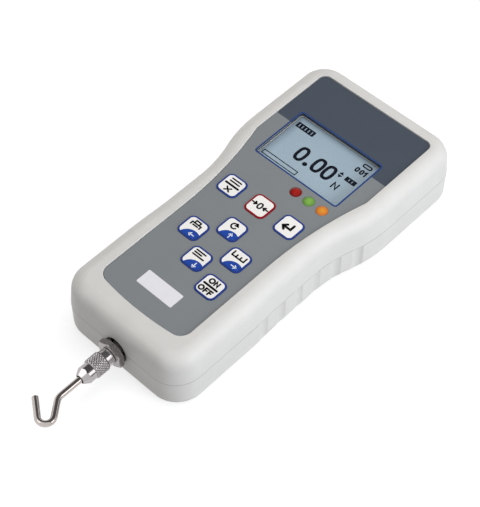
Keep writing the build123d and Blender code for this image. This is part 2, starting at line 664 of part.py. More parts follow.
# ================================================================ housing screws and stand inserts
with BuildPart() as housing_screws:
    with BuildSketch(Plane.XY.offset(CASE_HEAD_SUNK + FIT)):
        with Locations(*both_sides(CASE_SCREWS)):
            Circle(CASE_HEAD_R)
    extrude(amount=CASE_SEAT_Z - CASE_HEAD_SUNK - FIT)
    with BuildSketch(Plane.XY.offset(CASE_SEAT_Z)):
        with Locations(*both_sides(CASE_SCREWS)):
            Circle(CASE_SHANK_R)
    extrude(amount=CASE_SCREW_TIP_Z - CASE_SEAT_Z)
    case_crosses = crosses(CASE_HEAD_SUNK + FIT, both_sides(CASE_SCREWS))
    extrude(case_crosses, amount=CROSS_SLOT[2], mode=Mode.SUBTRACT)
save(housing_screws.part, "housing_screws")

with BuildPart() as mount_inserts:
    with BuildSketch():
        with GridLocations(*MOUNT_SPACING, 2, 2):
            Circle(INSERT_OUTER_R)
            Circle(INSERT_BORE_R, mode=Mode.SUBTRACT)
    extrude(amount=INSERT_LENGTH)
save(mount_inserts.part, "mount_inserts")

# ================================================================ load cell, bracket and bolts
with BuildPart() as load_cell:
    with BuildSketch(Plane.XY.offset(AXIS_Z - CELL_SIZE[2] / 2)):
        slit_reach = CELL_SIZE[0] - CELL_WEB
        with Locations((0, CELL_MIDDLE_Y)):
            Rectangle(CELL_SIZE[0], CELL_SIZE[1])
            Rectangle(2 * CELL_EYE_X, CELL_EYE_SLOT, mode=Mode.SUBTRACT)
            with GridLocations(2 * CELL_EYE_X, 0, 2, 1):
                Circle(CELL_EYE_R, mode=Mode.SUBTRACT)
        with Locations((-CELL_WEB / 2, CELL_NEAR_Y + CELL_SLIT_FROM_END)):
            Rectangle(slit_reach, CELL_SLIT, mode=Mode.SUBTRACT)
        with Locations((CELL_WEB / 2, CELL_FAR_Y - CELL_SLIT_FROM_END)):
            Rectangle(slit_reach, CELL_SLIT, mode=Mode.SUBTRACT)
    extrude(amount=CELL_SIZE[2])
    with BuildSketch(across(CELL_NEAR_Y + SPINDLE_BITE + FIT)):
        Circle(SPINDLE_R + FIT)
    extrude(amount=SPINDLE_BITE + FIT, mode=Mode.SUBTRACT)
    with BuildSketch(across(CELL_FAR_Y)):
        Circle(BOLT_R + FIT)
    extrude(amount=BOLT_BITE + FIT, mode=Mode.SUBTRACT)
save(load_cell.part, "load_cell")

with BuildPart() as load_cell_bracket:
    bracket_top_z = CELL_TOP_Z - BRACKET_TOP_GAP
    with BuildSketch(Plane.YZ.offset(-CELL_SIZE[0] / 2)):
        with BuildLine():
            foot_end_y = BRACKET_BACK_Y + BRACKET_FOOT_LENGTH
            foot_top_z = BRACKET_FOOT_Z + BRACKET_FOOT_T
            Polyline(
                (CELL_FAR_Y, BRACKET_FOOT_Z),
                (foot_end_y, BRACKET_FOOT_Z),
                (foot_end_y, foot_top_z),
                (BRACKET_BACK_Y, foot_top_z),
                (BRACKET_BACK_Y, bracket_top_z),
                (CELL_FAR_Y, bracket_top_z),
                close=True,
            )
        make_face()
    extrude(amount=CELL_SIZE[0])
    with BuildSketch(across(BRACKET_BACK_Y)):
        Circle(BOLT_R + BOLT_CLEARANCE)
    extrude(amount=BRACKET_T, mode=Mode.SUBTRACT)
    with BuildSketch(Plane.XY.offset(BRACKET_FOOT_Z)):
        with Locations(*bracket_screws):
            Circle(BOARD_SHANK_R + BOLT_CLEARANCE)
    extrude(amount=BRACKET_FOOT_T, mode=Mode.SUBTRACT)
save(load_cell_bracket.part, "load_cell_bracket")

with BuildPart() as load_cell_bolt:
    with BuildSketch(across(BRACKET_BACK_Y + BOLT_HEAD_T)):
        Circle(BOLT_HEAD_R)
    extrude(amount=BOLT_HEAD_T)
    chamfer(load_cell_bolt.edges().group_by(Axis.Y)[-1], BOLT_CLEARANCE)
    with BuildSketch(across(BRACKET_BACK_Y)):
        Circle(BOLT_R)
    extrude(amount=BRACKET_T + BOLT_BITE)
    with BuildSketch(across(BRACKET_BACK_Y + BOLT_HEAD_T)):
        RegularPolygon(BOLT_SOCKET_AF / 2, 6, major_radius=False)
    extrude(amount=BOLT_SOCKET_DEPTH, mode=Mode.SUBTRACT)
save(load_cell_bolt.part, "load_cell_bolt")

with BuildPart() as bracket_screw_set:
    with BuildSketch(Plane.XY.offset(BRACKET_FOOT_Z + BRACKET_FOOT_T)):
        with Locations(*bracket_screws):
            Circle(BOARD_HEAD_R)
    extrude(amount=BOARD_HEAD_T)
    with BuildSketch(Plane.XY.offset(WALL / 2 + FIT)):
        with Locations(*bracket_screws):
            Circle(BOARD_SHANK_R)
    extrude(amount=BRACKET_FOOT_Z + BRACKET_FOOT_T - WALL / 2 - FIT)
    foot_crosses = crosses(BRACKET_FOOT_Z + BRACKET_FOOT_T + BOARD_HEAD_T, bracket_screws)
    extrude(foot_crosses, amount=-CROSS_SLOT[2], mode=Mode.SUBTRACT)
save(bracket_screw_set.part, "bracket_screws")

# ================================================================ spindle and lock nut
with BuildPart() as spindle:
    with BuildSketch(across(CELL_NEAR_Y + SPINDLE_BITE)):
        Circle(SPINDLE_R)
    extrude(amount=CELL_NEAR_Y + SPINDLE_BITE - SPINDLE_FRONT_Y)
    chamfer(spindle.edges().filter_by(GeomType.CIRCLE), SPINDLE_R / 8)
    with BuildSketch(across(CELL_NEAR_Y - FIT)):
        Circle(SPINDLE_COLLAR_R)
    extrude(amount=SPINDLE_COLLAR_T)
save(spindle.part, "spindle")

with BuildPart() as lock_nut:
    with BuildSketch(across(NUT_BACK_Y)):
        RegularPolygon(NUT_FLATS / 2, 6, major_radius=False, rotation=30)
    extrude(amount=NUT_T)
    # take the corners off both faces, down to the width across flats
    with BuildSketch(Plane.XY.offset(AXIS_Z)):
        with BuildLine():
            nut_corner_r = NUT_FLATS / sqrt(3)
            face_r = NUT_FLATS / 2
            Polyline(
                (0, NUT_BACK_Y),
                (face_r, NUT_BACK_Y),
                (nut_corner_r, NUT_BACK_Y - NUT_CHAMFER),
                (nut_corner_r, NUT_FRONT_Y + NUT_CHAMFER),
                (face_r, NUT_FRONT_Y),
                (0, NUT_FRONT_Y),
                close=True,
            )
        make_face()
    revolve(axis=Axis((0, 0, AXIS_Z), (0, 1, 0)), mode=Mode.INTERSECT)
    with BuildSketch(across(NUT_BACK_Y)):
        Circle(SPINDLE_R + FIT)
    extrude(amount=NUT_T, mode=Mode.SUBTRACT)
save(lock_nut.part, "lock_nut")

# ================================================================ chuck
with BuildPart() as chuck_body:
    with BuildSketch(Plane.XY.offset(AXIS_Z)):
        with BuildLine():
            Polyline(
                (0, CHUCK_BACK_Y),
                (COLLAR_R, CHUCK_BACK_Y),
                (COLLAR_R, KNURL_BACK_Y),
                (KNURL_R - KNURL_CHAMFER, KNURL_BACK_Y),
                (KNURL_R, KNURL_BACK_Y - KNURL_CHAMFER),
                (KNURL_R, KNURL_FRONT_Y + KNURL_CHAMFER),
                (KNURL_R - KNURL_CHAMFER, KNURL_FRONT_Y),
                (SPIGOT_R, KNURL_FRONT_Y),
                (SPIGOT_R, SPIGOT_FRONT_Y),
                (0, SPIGOT_FRONT_Y),
                close=True,
            )
        make_face()
    revolve(axis=Axis((0, 0, AXIS_Z), (0, 1, 0)))
    with BuildSketch(across(CHUCK_BACK_Y)):
        Circle(SPINDLE_R + FIT)
    extrude(amount=SOCKET_DEPTH, mode=Mode.SUBTRACT)
    with BuildSketch(across(COLLET_BACK_Y + FIT)):
        Circle(COLLET_R + FIT)
    extrude(amount=COLLET_BACK_Y - SPIGOT_FRONT_Y + 2 * FIT, mode=Mode.SUBTRACT)
save(chuck_body.part, "chuck_body")

with BuildPart() as chuck_nose:
    with BuildSketch(across(NOSE_BACK_Y)):
        Circle(NOSE_R)
    extrude(amount=NOSE_BARREL + NOSE_TAPER_LENGTH)
    # flats that run in to the mouth
    with BuildPart(mode=Mode.PRIVATE) as nose_flats:
        facet_turn = 90 - NOSE_FACET_TURN
        with BuildSketch(across(NOSE_SHOULDER_Y)):
            RegularPolygon(NOSE_R, NOSE_FACETS, major_radius=False, rotation=facet_turn)
        with BuildSketch(across(NOSE_FRONT_Y)):
            RegularPolygon(NOSE_MOUTH_R, NOSE_FACETS, major_radius=False, rotation=facet_turn)
        loft()
        with BuildSketch(across(NOSE_BACK_Y)):
            Circle(NOSE_R)
        extrude(amount=NOSE_BARREL)
    add(nose_flats.part, mode=Mode.INTERSECT)
    with BuildSketch(across(NOSE_BACK_Y)):
        Circle(SPIGOT_R + FIT)
    extrude(amount=SPIGOT_LENGTH, mode=Mode.SUBTRACT)
    with BuildSketch(across(NOSE_BACK_Y)):
        Circle(COLLET_R + FIT)
    extrude(amount=NOSE_BARREL + NOSE_TAPER_LENGTH, mode=Mode.SUBTRACT)
save(chuck_nose.part, "chuck_nose")

with BuildPart() as collet:
    with BuildSketch(across(COLLET_BACK_Y)):
        Circle(COLLET_R)
        Circle(WIRE_R + WIRE_FIT, mode=Mode.SUBTRACT)
    extrude(amount=COLLET_LENGTH)
    with BuildSketch(across(COLLET_FRONT_Y)):
        with PolarLocations(COLLET_R / 2, COLLET_SLITS, start_angle=90):
            Rectangle(COLLET_R + WIRE_R, COLLET_SLOT)
    extrude(amount=-COLLET_SLIT_LENGTH, mode=Mode.SUBTRACT)
save(collet.part, "collet")

# ================================================================ hook
with BuildPart() as hook:
    with BuildLine(Plane.XY.offset(AXIS_Z)) as wire:
        shank = Line((0, WIRE_BACK_Y), (0, SHANK_END_Y))
        bend = JernArc(shank @ 1, shank % 1, NECK_R, NECK_TURN)
        run = PolarLine(bend @ 1, NECK_RUN, direction=bend % 1)
        crook = JernArc(run @ 1, run % 1, CROOK_R, -CROOK_TURN)
        tip = PolarLine(crook @ 1, TIP_RUN, direction=crook % 1)
    with BuildSketch(across(WIRE_BACK_Y)):
        Circle(WIRE_R)
    sweep(path=wire.line)
    fillet(hook.faces().filter_by(GeomType.PLANE).sort_by(Axis.X)[0].edges(), TIP_ROUND)
save(hook.part, "hook")

# ================================================================ battery
with BuildPart() as battery_cells:
    first_y = BATTERY_NEAR_Y + SLEEVE_T + BATTERY_CELL_R
    with BuildSketch(Plane.YZ.offset(-BATTERY_CELL_LENGTH / 2)):
        with Locations(*[(first_y + 2 * BATTERY_CELL_R * i, BATTERY_AXIS_Z) for i in range(CELL_COUNT)]):
            Circle(BATTERY_CELL_R - FIT)
    extrude(amount=BATTERY_CELL_LENGTH)
save(battery_cells.part, "battery_cells")

with BuildPart() as battery_sleeve:
    with BuildSketch(Plane.YZ.offset(-BATTERY_CELL_LENGTH / 2)):
        with Locations((BATTERY_MIDDLE_Y, BATTERY_AXIS_Z)):
            straight = 2 * (CELL_COUNT - 1) * BATTERY_CELL_R
            SlotCenterToCenter(straight, 2 * (BATTERY_CELL_R + SLEEVE_T))
            SlotCenterToCenter(straight, 2 * BATTERY_CELL_R, mode=Mode.SUBTRACT)
    extrude(amount=BATTERY_CELL_LENGTH)
save(battery_sleeve.part, "battery_sleeve")

# ================================================================ sockets
with BuildPart() as io_board:
    with BuildSketch(Plane.XY.offset(IO_BOARD_Z)):
        with Locations((0, io_board_y)):
            Rectangle(IO_BOARD_SIZE[0], IO_BOARD_SIZE[1])
    extrude(amount=IO_BOARD_SIZE[2])
save(io_board.part, "io_board")

with BuildPart() as charger_socket:
    jack_back_y = INNER_FAR_Y - FIT - JACK_SIZE[1]
    with BuildSketch(Plane.XY.offset(IO_BOARD_TOP_Z)):
        with Locations((JACK_X, jack_back_y + JACK_SIZE[1] / 2)):
            Rectangle(JACK_SIZE[0], JACK_SIZE[1])
    extrude(amount=JACK_SIZE[2])
    with BuildSketch(across(INNER_FAR_Y - FIT, JACK_AXIS_Z)):
        with Locations((JACK_X, 0)):
            Circle(JACK_NOSE_R)
    extrude(amount=INNER_FAR_Y - FIT - SOCKET_FACE_Y)
    with BuildSketch(across(SOCKET_FACE_Y, JACK_AXIS_Z)):
        with Locations((JACK_X, 0)):
            Circle(JACK_BORE_R)
            Circle(JACK_PIN_R, mode=Mode.SUBTRACT)
    extrude(amount=JACK_BORE_DEPTH, mode=Mode.SUBTRACT)
save(charger_socket.part, "charger_socket")

with BuildPart() as data_socket:
    data_back_y = SOCKET_FACE_Y - DATA_SIZE[1]
    with BuildSketch(across(SOCKET_FACE_Y, DATA_AXIS_Z)):
        with Locations((DATA_X, 0)):
            Rectangle(DATA_SIZE[0], DATA_SIZE[2])
    extrude(amount=DATA_SIZE[1])
    with BuildSketch(across(SOCKET_FACE_Y, DATA_AXIS_Z)):
        with Locations((DATA_X, 0)):
            Rectangle(DATA_SIZE[0] - 2 * DATA_WALL, DATA_SIZE[2] - 2 * DATA_WALL)
            Rectangle(DATA_TONGUE[0], DATA_TONGUE[2], mode=Mode.SUBTRACT)
    extrude(amount=DATA_TONGUE[1], mode=Mode.SUBTRACT)
save(data_socket.part, "data_socket")
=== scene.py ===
"""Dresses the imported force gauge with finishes, printed marks, a knurled chuck and a lit studio.

All sizes in this file are in millimetres in the gauge's own frame: X to the user's right, Y towards the
display end, Z out of the face, zero at the flat back. They become metres when a mesh or a node is made.
"""
import json
import logging
import math
from collections.abc import Sequence
from dataclasses import dataclass, field
from enum import Enum

import bpy
import numpy as np
from mathutils import Matrix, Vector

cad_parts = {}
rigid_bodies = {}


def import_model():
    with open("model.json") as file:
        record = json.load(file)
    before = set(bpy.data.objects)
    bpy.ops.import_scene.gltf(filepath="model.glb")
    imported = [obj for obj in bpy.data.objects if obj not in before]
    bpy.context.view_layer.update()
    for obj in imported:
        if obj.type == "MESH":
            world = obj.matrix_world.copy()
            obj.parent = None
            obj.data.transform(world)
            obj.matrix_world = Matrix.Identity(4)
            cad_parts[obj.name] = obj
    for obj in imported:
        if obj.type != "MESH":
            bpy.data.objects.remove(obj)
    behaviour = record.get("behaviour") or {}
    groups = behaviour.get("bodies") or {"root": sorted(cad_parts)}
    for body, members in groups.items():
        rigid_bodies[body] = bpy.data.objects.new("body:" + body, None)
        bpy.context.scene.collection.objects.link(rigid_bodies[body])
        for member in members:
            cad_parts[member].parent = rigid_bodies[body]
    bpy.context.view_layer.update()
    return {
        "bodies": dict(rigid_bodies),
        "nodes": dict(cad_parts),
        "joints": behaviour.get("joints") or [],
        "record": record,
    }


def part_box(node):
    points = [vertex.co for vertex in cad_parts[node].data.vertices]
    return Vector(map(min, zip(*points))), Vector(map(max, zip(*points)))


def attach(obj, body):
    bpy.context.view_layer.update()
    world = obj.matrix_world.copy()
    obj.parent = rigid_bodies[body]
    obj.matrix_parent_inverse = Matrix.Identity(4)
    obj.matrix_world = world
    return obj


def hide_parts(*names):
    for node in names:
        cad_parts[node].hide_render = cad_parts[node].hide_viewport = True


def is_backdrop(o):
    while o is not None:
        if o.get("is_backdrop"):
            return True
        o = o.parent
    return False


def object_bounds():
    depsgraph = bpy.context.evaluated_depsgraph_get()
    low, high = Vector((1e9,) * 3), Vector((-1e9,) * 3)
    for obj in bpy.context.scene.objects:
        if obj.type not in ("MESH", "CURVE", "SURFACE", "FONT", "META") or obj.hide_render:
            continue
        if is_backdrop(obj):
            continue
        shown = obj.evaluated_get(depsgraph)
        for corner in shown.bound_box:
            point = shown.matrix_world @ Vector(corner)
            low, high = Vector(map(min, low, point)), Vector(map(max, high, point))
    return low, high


LOG = logging.getLogger("gauge")
MM = 0.001
Colour = tuple[float, float, float]
Point = tuple[float, float, float]
Flat = tuple[float, float]
Loop = np.ndarray
Path = Sequence[Flat] | np.ndarray
Solid = tuple[np.ndarray, list]
Socket = bpy.types.NodeSocket


def ink(red: int, green: int, blue: int) -> Colour:
    """Return the linear colour of an 8-bit sRGB one.

    Args:
        red: Red level, 0 to 255.
        green: Green level.
        blue: Blue level.

    Returns:
        The linear colour, each channel 0 to 1.
    """
    values = np.array([red, green, blue]) / 255
    linear = np.where(values <= 0.04045, values / 12.92, ((values + 0.055) / 1.055) ** 2.4)
    return tuple(float(v) for v in linear)


def shade(colour: Colour, factor: float) -> Colour:
    """Return a colour made lighter or darker by a factor."""
    return tuple(min(1.0, channel * factor) for channel in colour)


# ---------------------------------------------------------------- shader building


class Shader:
    """One node material, built step by step round its Principled shader."""

    def __init__(self, material: bpy.types.Material) -> None:
        """Take up a material that has its nodes.

        Args:
            material: The material to work on.
        """
        self.material = material
        self.tree = material.node_tree
        self.surface = self.tree.nodes["Principled BSDF"]
        self.position = self.node("ShaderNodeTexCoord").outputs["Object"]

    @classmethod
    def new(cls, name: str) -> "Shader":
        """Start a new material.

        Args:
            name: The material's name.

        Returns:
            Its shader, still plain.
        """
        material = bpy.data.materials.new(name)
        material.use_nodes = True
        return cls(material)

    def node(self, kind: str, **settings: object) -> bpy.types.Node:
        """Add a node.

        Args:
            kind: The node's type.
            **settings: Plain properties to set on it.

        Returns:
            The new node.
        """
        made = self.tree.nodes.new(kind)
        for key, value in settings.items():
            setattr(made, key, value)
        return made

    def feed(self, socket: Socket, value: object) -> None:
        """Link a socket to another, or set its constant.

        Args:
            socket: The input to feed.
            value: Another node's output, a number, a vector or a linear colour.
        """
        if isinstance(value, Socket):
            self.tree.links.new(value, socket)
        elif isinstance(value, tuple) and len(value) == 3 and socket.type == "RGBA":
            socket.default_value = (*value, 1.0)
        else:
            socket.default_value = value

    def set(self, **inputs: object) -> None:
        """Feed the Principled shader's sockets.

        Args:
            **inputs: Values by socket name, with underscores for spaces.
        """
        for key, value in inputs.items():
            self.feed(self.surface.inputs[key.replace("_", " ")], value)

    def part(self, vector: Socket, name: str) -> Socket:
        """Return the X, Y or Z of a vector.

        Args:
            vector: The vector's socket.
            name: X, Y or Z.

        Returns:
            That part of it.
        """
        split = self.node("ShaderNodeSeparateXYZ")
        self.feed(split.inputs[0], vector)
        return split.outputs[name]

    def axis(self, name: str, origin: float = 0.0) -> Socket:
        """Return one coordinate of the position in the gauge's own frame.

        Args:
            name: X, Y or Z.
            origin: Where that coordinate is counted from, in millimetres.

        Returns:
            The coordinate, in metres.
        """
        value = self.part(self.position, name)
        return self.calc("SUBTRACT", value, origin * MM) if origin else value

    def upward(self) -> Socket:
        """Return how far the surface faces up, from -1 to 1."""
        return self.part(self.node("ShaderNodeTexCoord").outputs["Normal"], "Z")

    def noise(self, size: float, detail: float = 2.0, scale: Point = (1, 1, 1)) -> Socket:
        """Return noise whose grains are about size millimetres across.

        Args:
            size: Grain size in millimetres.
            detail: Octaves.
            scale: Stretch of the position along each axis.

        Returns:
            The noise value, about 0 to 1.
        """
        stretch = self.node("ShaderNodeMapping")
        self.feed(stretch.inputs["Vector"], self.position)
        stretch.inputs["Scale"].default_value = scale
        texture = self.node("ShaderNodeTexNoise")
        self.feed(texture.inputs["Vector"], stretch.outputs[0])
        texture.inputs["Scale"].default_value = 1 / (size * MM)
        texture.inputs["Detail"].default_value = detail
        return texture.outputs["Fac"]

    def calc(self, operation: str, *values: object) -> Socket:
        """Work out a sum.

        Args:
            operation: The maths node's operation.
            *values: Its one, two or three values.

        Returns:
            The result.
        """
        made = self.node("ShaderNodeMath", operation=operation)
        for socket, value in zip(made.inputs, values):
            self.feed(socket, value)
        return made.outputs[0]

    def distance(self, first: Socket, second: Socket) -> Socket:
        """Return the root of the sum of two squares.

        Args:
            first: Distance along one direction.
            second: Distance across it.

        Returns:
            The length of both together.
        """
        squares = [self.calc("MULTIPLY", value, value) for value in (first, second)]
        return self.calc("SQRT", self.calc("ADD", *squares))

    def fade(self, value: object, low: float, high: float) -> Socket:
        """Return a smooth step.

        Args:
            value: What it depends on.
            low: Value at which it is 0.
            high: Value at which it is 1; it may be the lower of the two.

        Returns:
            The step, 0 to 1.
        """
        made = self.node("ShaderNodeMapRange", interpolation_type="SMOOTHSTEP")
        self.feed(made.inputs["Value"], value)
        made.inputs["From Min"].default_value = low
        made.inputs["From Max"].default_value = high
        return made.outputs["Result"]

    def blend(self, share: object, first: object, second: object) -> Socket:
        """Mix two colours.

        Args:
            share: How much of the second colour shows, 0 to 1.
            first: A linear colour or a socket.
            second: Another.

        Returns:
            The mix.
        """
        made = self.node("ShaderNodeMix", data_type="RGBA")
        factor, colour_a, colour_b = made.inputs["Factor"], made.inputs[6], made.inputs[7]
        for socket, value in ((factor, share), (colour_a, first), (colour_b, second)):
            self.feed(socket, value)
        return made.outputs[2]

    def cloudy(self, colour: Colour, size: float, detail: float, dark: float, light: float) -> Socket:
        """Return a colour that drifts between a darker and a lighter tone of itself.

        Args:
            colour: The colour.
            size: Size of the patches, in millimetres.
            detail: Octaves of the patches.
            dark: Factor of the darker tone.
            light: Factor of the lighter tone.

        Returns:
            The uneven colour.
        """
        return self.blend(self.noise(size, detail), shade(colour, dark), shade(colour, light))

    def bump(self, height: object, depth: float) -> None:
        """Add relief to the surface.

        Args:
            height: The relief, about 0 to 1.
            depth: Its depth in millimetres.
        """
        made = self.node("ShaderNodeBump")
        self.feed(made.inputs["Height"], height)
        made.inputs["Distance"].default_value = depth * MM
        made.inputs["Strength"].default_value = 1.0
        self.set(Normal=made.outputs[0])


# ---------------------------------------------------------------- finishes


class Finish:
    """A named finish that builds its own material."""

    name: str

    def make(self) -> bpy.types.Material:
        """Build the material."""
        raise NotImplementedError(self.name)


@dataclass(frozen=True)
class Moulded(Finish):
    """Injection-moulded plastic with a fine spark-eroded grain, and painted shade at its seam and seat.

    A seam is the height of a parting line, and a seat that of the ledge under the face panel, which shows
    in the gap round the panel and in the display's opening.
    """

    name: str
    colour: Colour
    rough: float = 0.42
    grain: float = 0.35
    depth: float = 0.012
    mottle: float = 0.05
    wear: float = 0.12
    seam: float | None = None
    seam_width: float = 0.2
    seam_share: float = 0.85
    seam_painted_shade: float = 0.25
    seat: float | None = None
    seat_reach: Flat = (0.25, 0.05)
    seat_facing: Flat = (0.94, 0.99)
    seat_share: float = 0.8
    seat_painted_shade: float = 0.2

    def make(self) -> bpy.types.Material:
        """Build the material; a seam darkens a thin line, and a seat what faces up at its height.

        Returns:
            The material.
        """
        shader = Shader.new(self.name)
        dark, light = 1 - self.mottle, 1 + self.mottle
        colour = shader.cloudy(self.colour, size=9.0, detail=3.0, dark=dark, light=light)
        # Painted shade: a thin dark line along the parting line, where its groove would lie in shadow.
        if self.seam is not None:
            from_seam = shader.calc("ABSOLUTE", shader.axis("Z", self.seam))
            line = shader.fade(from_seam, self.seam_width * MM, 0.0)
            share = shader.calc("MULTIPLY", line, self.seam_share)
            colour = shader.blend(share, colour, shade(self.colour, self.seam_painted_shade))
        # Painted shade: what faces up at the seat height, the floor of the gap round the panel, is darkened.
        if self.seat is not None:
            over, under = self.seat_reach
            facing = shader.fade(shader.upward(), *self.seat_facing)
            sunk = shader.fade(shader.axis("Z", self.seat), over * MM, under * MM)
            share = shader.calc("MULTIPLY", shader.calc("MULTIPLY", facing, sunk), self.seat_share)
            colour = shader.blend(share, colour, shade(self.colour, self.seat_painted_shade))
        grain = shader.noise(self.grain)
        rough = shader.calc("MULTIPLY_ADD", grain, self.wear, self.rough - self.wear / 2)
        shader.set(Base_Color=colour, Roughness=rough, Specular_IOR_Level=0.42)
        shader.bump(grain, self.depth)
        return shader.material


@dataclass(frozen=True)
class PrintedFilm(Finish):
    """Satin polyester film, printed from behind in two greys that meet at band_y."""

    name: str
    body: Colour
    band: Colour
    band_y: float
    blur: float = 0.06

    def make(self) -> bpy.types.Material:
        """Build the material; the darker grey starts at band_y.

        Returns:
            The material.
        """
        shader = Shader.new(self.name)
        body = shader.cloudy(self.body, size=14.0, detail=2.0, dark=0.97, light=1.04)
        band = shader.cloudy(self.band, size=14.0, detail=2.0, dark=0.95, light=1.05)
        past = shader.fade(shader.axis("Y", self.band_y), -self.blur * MM, self.blur * MM)
        shader.set(Base_Color=shader.blend(past, body, band), Roughness=0.5, Specular_IOR_Level=0.3)
        shader.bump(shader.noise(size=0.25, detail=1.0), depth=0.004)
        return shader.material


@dataclass(frozen=True)
class Metal(Finish):
    """Turned, plated or drawn metal with fine tool marks, stretched along an axis by marks."""

    name: str
    colour: Colour
    rough: float = 0.25
    marks: Point = (1.0, 1.0, 1.0)
    mark_size: float = 0.3
    depth: float = 0.006
    wear: float = 0.14
    polish: float = 0.05

    def make(self) -> bpy.types.Material:
        """Build the material: a slight stain, and tool marks that roughen it.

        Returns:
            The material.
        """
        shader = Shader.new(self.name)
        line = shader.noise(self.mark_size, scale=self.marks)
        colour = shader.cloudy(self.colour, size=3.0, detail=3.0, dark=0.9, light=1.06)
        rough = shader.calc("MULTIPLY_ADD", line, self.wear, self.rough - self.polish)
        shader.set(Base_Color=colour, Roughness=rough, Metallic=1.0)
        shader.bump(line, self.depth)
        return shader.material


@dataclass(frozen=True)
class KnurledMetal(Metal):
    """Plated metal whose knurl grooves carry painted shade."""

    axis_z: float = 0.0
    root: float = 0.0
    crest: float = 0.0
    knurl_groove_shade: Colour = (0.03, 0.028, 0.028)
    knurl_groove_shade_share: float = 0.45
    root_fade: Flat = (-0.16, -0.06)
    crest_fade: Flat = (-0.05, 0.04)

    def make(self) -> bpy.types.Material:
        """Build the metal, then darken it with painted shade between the knurl's root and crest radius.

        The radius is the root of x squared plus the squared height above the measuring axis.

        Returns:
            The material.
        """
        material = super().make()
        shader = Shader(material)
        radius = shader.distance(shader.axis("X"), shader.axis("Z", self.axis_z))
        above = shader.fade(radius, *((self.root + reach) * MM for reach in self.root_fade))
        # Painted shade: the knurl darkens from near its crest down to its root.
        unshaded_radius, shaded_radius = self.crest + self.crest_fade[0], self.root + self.crest_fade[1]
        below = shader.fade(radius, unshaded_radius * MM, shaded_radius * MM)
        share = shader.calc("MULTIPLY", shader.calc("MULTIPLY", above, below), self.knurl_groove_shade_share)
        plain = shader.surface.inputs["Base Color"].links[0].from_socket
        shader.set(Base_Color=shader.blend(share, plain, self.knurl_groove_shade))
        return material


@dataclass(frozen=True)
class Print(Finish):
    """Screen-printed ink or a plain coloured face; edge is its second tone."""

    name: str
    colour: Colour
    rough: float = 0.5
    edge: Colour | None = None
    specular: float = 0.12

    def make(self) -> bpy.types.Material:
        """Build the material, with a slight unevenness of the ink.

        Returns:
            The material.
        """
        shader = Shader.new(self.name)
        deeper = self.edge or shade(self.colour, 0.95)
        colour = shader.blend(shader.noise(size=5.0), deeper, shade(self.colour, 1.03))
        shader.set(Base_Color=colour, Roughness=self.rough, Specular_IOR_Level=self.specular)
        shader.bump(shader.noise(size=0.3, detail=1.0), depth=0.003)
        return shader.material


@dataclass(frozen=True)
class DiffusedLamp(Finish):
    """Tinted, diffused lamp body, with painted shade towards its rim and partly painted glints."""

    name: str
    colour: Colour
    rim: Colour
    centre: Flat
    rim_shade_fade: Flat = (0.6, 2.6)
    mottle: Flat = (0.72, 1.4)

    def make(self) -> bpy.types.Material:
        """Build the material; painted shade darkens it with the distance from the lamp's axis.

        Returns:
            The material.
        """
        shader = Shader.new(self.name)
        from_axis = shader.distance(shader.axis("X", self.centre[0]), shader.axis("Y", self.centre[1]))
        # Painted shade: the colour turns to the darker rim colour away from the lamp's axis.
        away = shader.fade(from_axis, *(radius * MM for radius in self.rim_shade_fade))
        # The bright end of the patches paints glints on the lens.
        cloud = shader.noise(size=1.2)
        tint = shader.blend(cloud, *(shade(self.colour, factor) for factor in self.mottle))
        shader.set(Base_Color=shader.blend(away, tint, self.rim), Roughness=0.3, Specular_IOR_Level=0.4)
        shader.bump(cloud, depth=0.02)
        return shader.material


@dataclass(frozen=True)
class DisplayGlass(Finish):
    """Reflective grey-blue display behind its polariser, with painted shadow along two of its edges."""

    name: str
    bright: Colour
    deep: Colour
    recess_shadow: Colour
    corner: Flat
    recess_shadow_width: Flat = (6.0, 5.0)
    recess_shadow_share: float = 0.6
    tone_y: Flat = (38.0, 66.0)
    tone_shares: Flat = (0.4, 0.6)

    def make(self) -> bpy.types.Material:
        """Build the material: a slow change of tone, two dim margins that meet at corner, and faint dots.

        Returns:
            The material.
        """
        shader = Shader.new(self.name)
        slow = shader.noise(size=26.0, detail=1.0)
        across = shader.fade(shader.axis("Y"), *(y * MM for y in self.tone_y))
        even, uneven = self.tone_shares
        mixed = shader.calc("MULTIPLY_ADD", across, even, shader.calc("MULTIPLY", slow, uneven))
        # Painted shadow: the glass darkens towards its left and top edges, under the opening's walls.
        from_left = shader.fade(shader.axis("X", self.corner[0]), self.recess_shadow_width[0] * MM, 0.0)
        from_top = shader.fade(shader.axis("Y", self.corner[1]), -self.recess_shadow_width[1] * MM, 0.0)
        painted_shadow = shader.calc("MULTIPLY", shader.calc("MAXIMUM", from_left, from_top), self.recess_shadow_share)
        colour = shader.blend(painted_shadow, shader.blend(mixed, self.bright, self.deep), self.recess_shadow)
        shader.set(Base_Color=colour, Roughness=0.35, Specular_IOR_Level=0.4)
        shader.bump(shader.noise(size=0.4, detail=1.0), depth=0.002)
        return shader.material


@dataclass(frozen=True)
class ClearWindow(Finish):
    """Thin clear acrylic that shows what lies behind it."""

    name: str
    dark: Colour = ink(40, 48, 54)
    light: Colour = ink(52, 60, 66)
    alpha: float = 0.06

    def make(self) -> bpy.types.Material:
        """Build the material: almost clear, with a smooth gloss.

        Returns:
            The material.
        """
        shader = Shader.new(self.name)
        colour = shader.blend(shader.noise(size=8.0), self.dark, self.light)
        shader.set(Base_Color=colour, Roughness=0.04, Alpha=self.alpha)
        shader.material.surface_render_method = "BLENDED"
        return shader.material


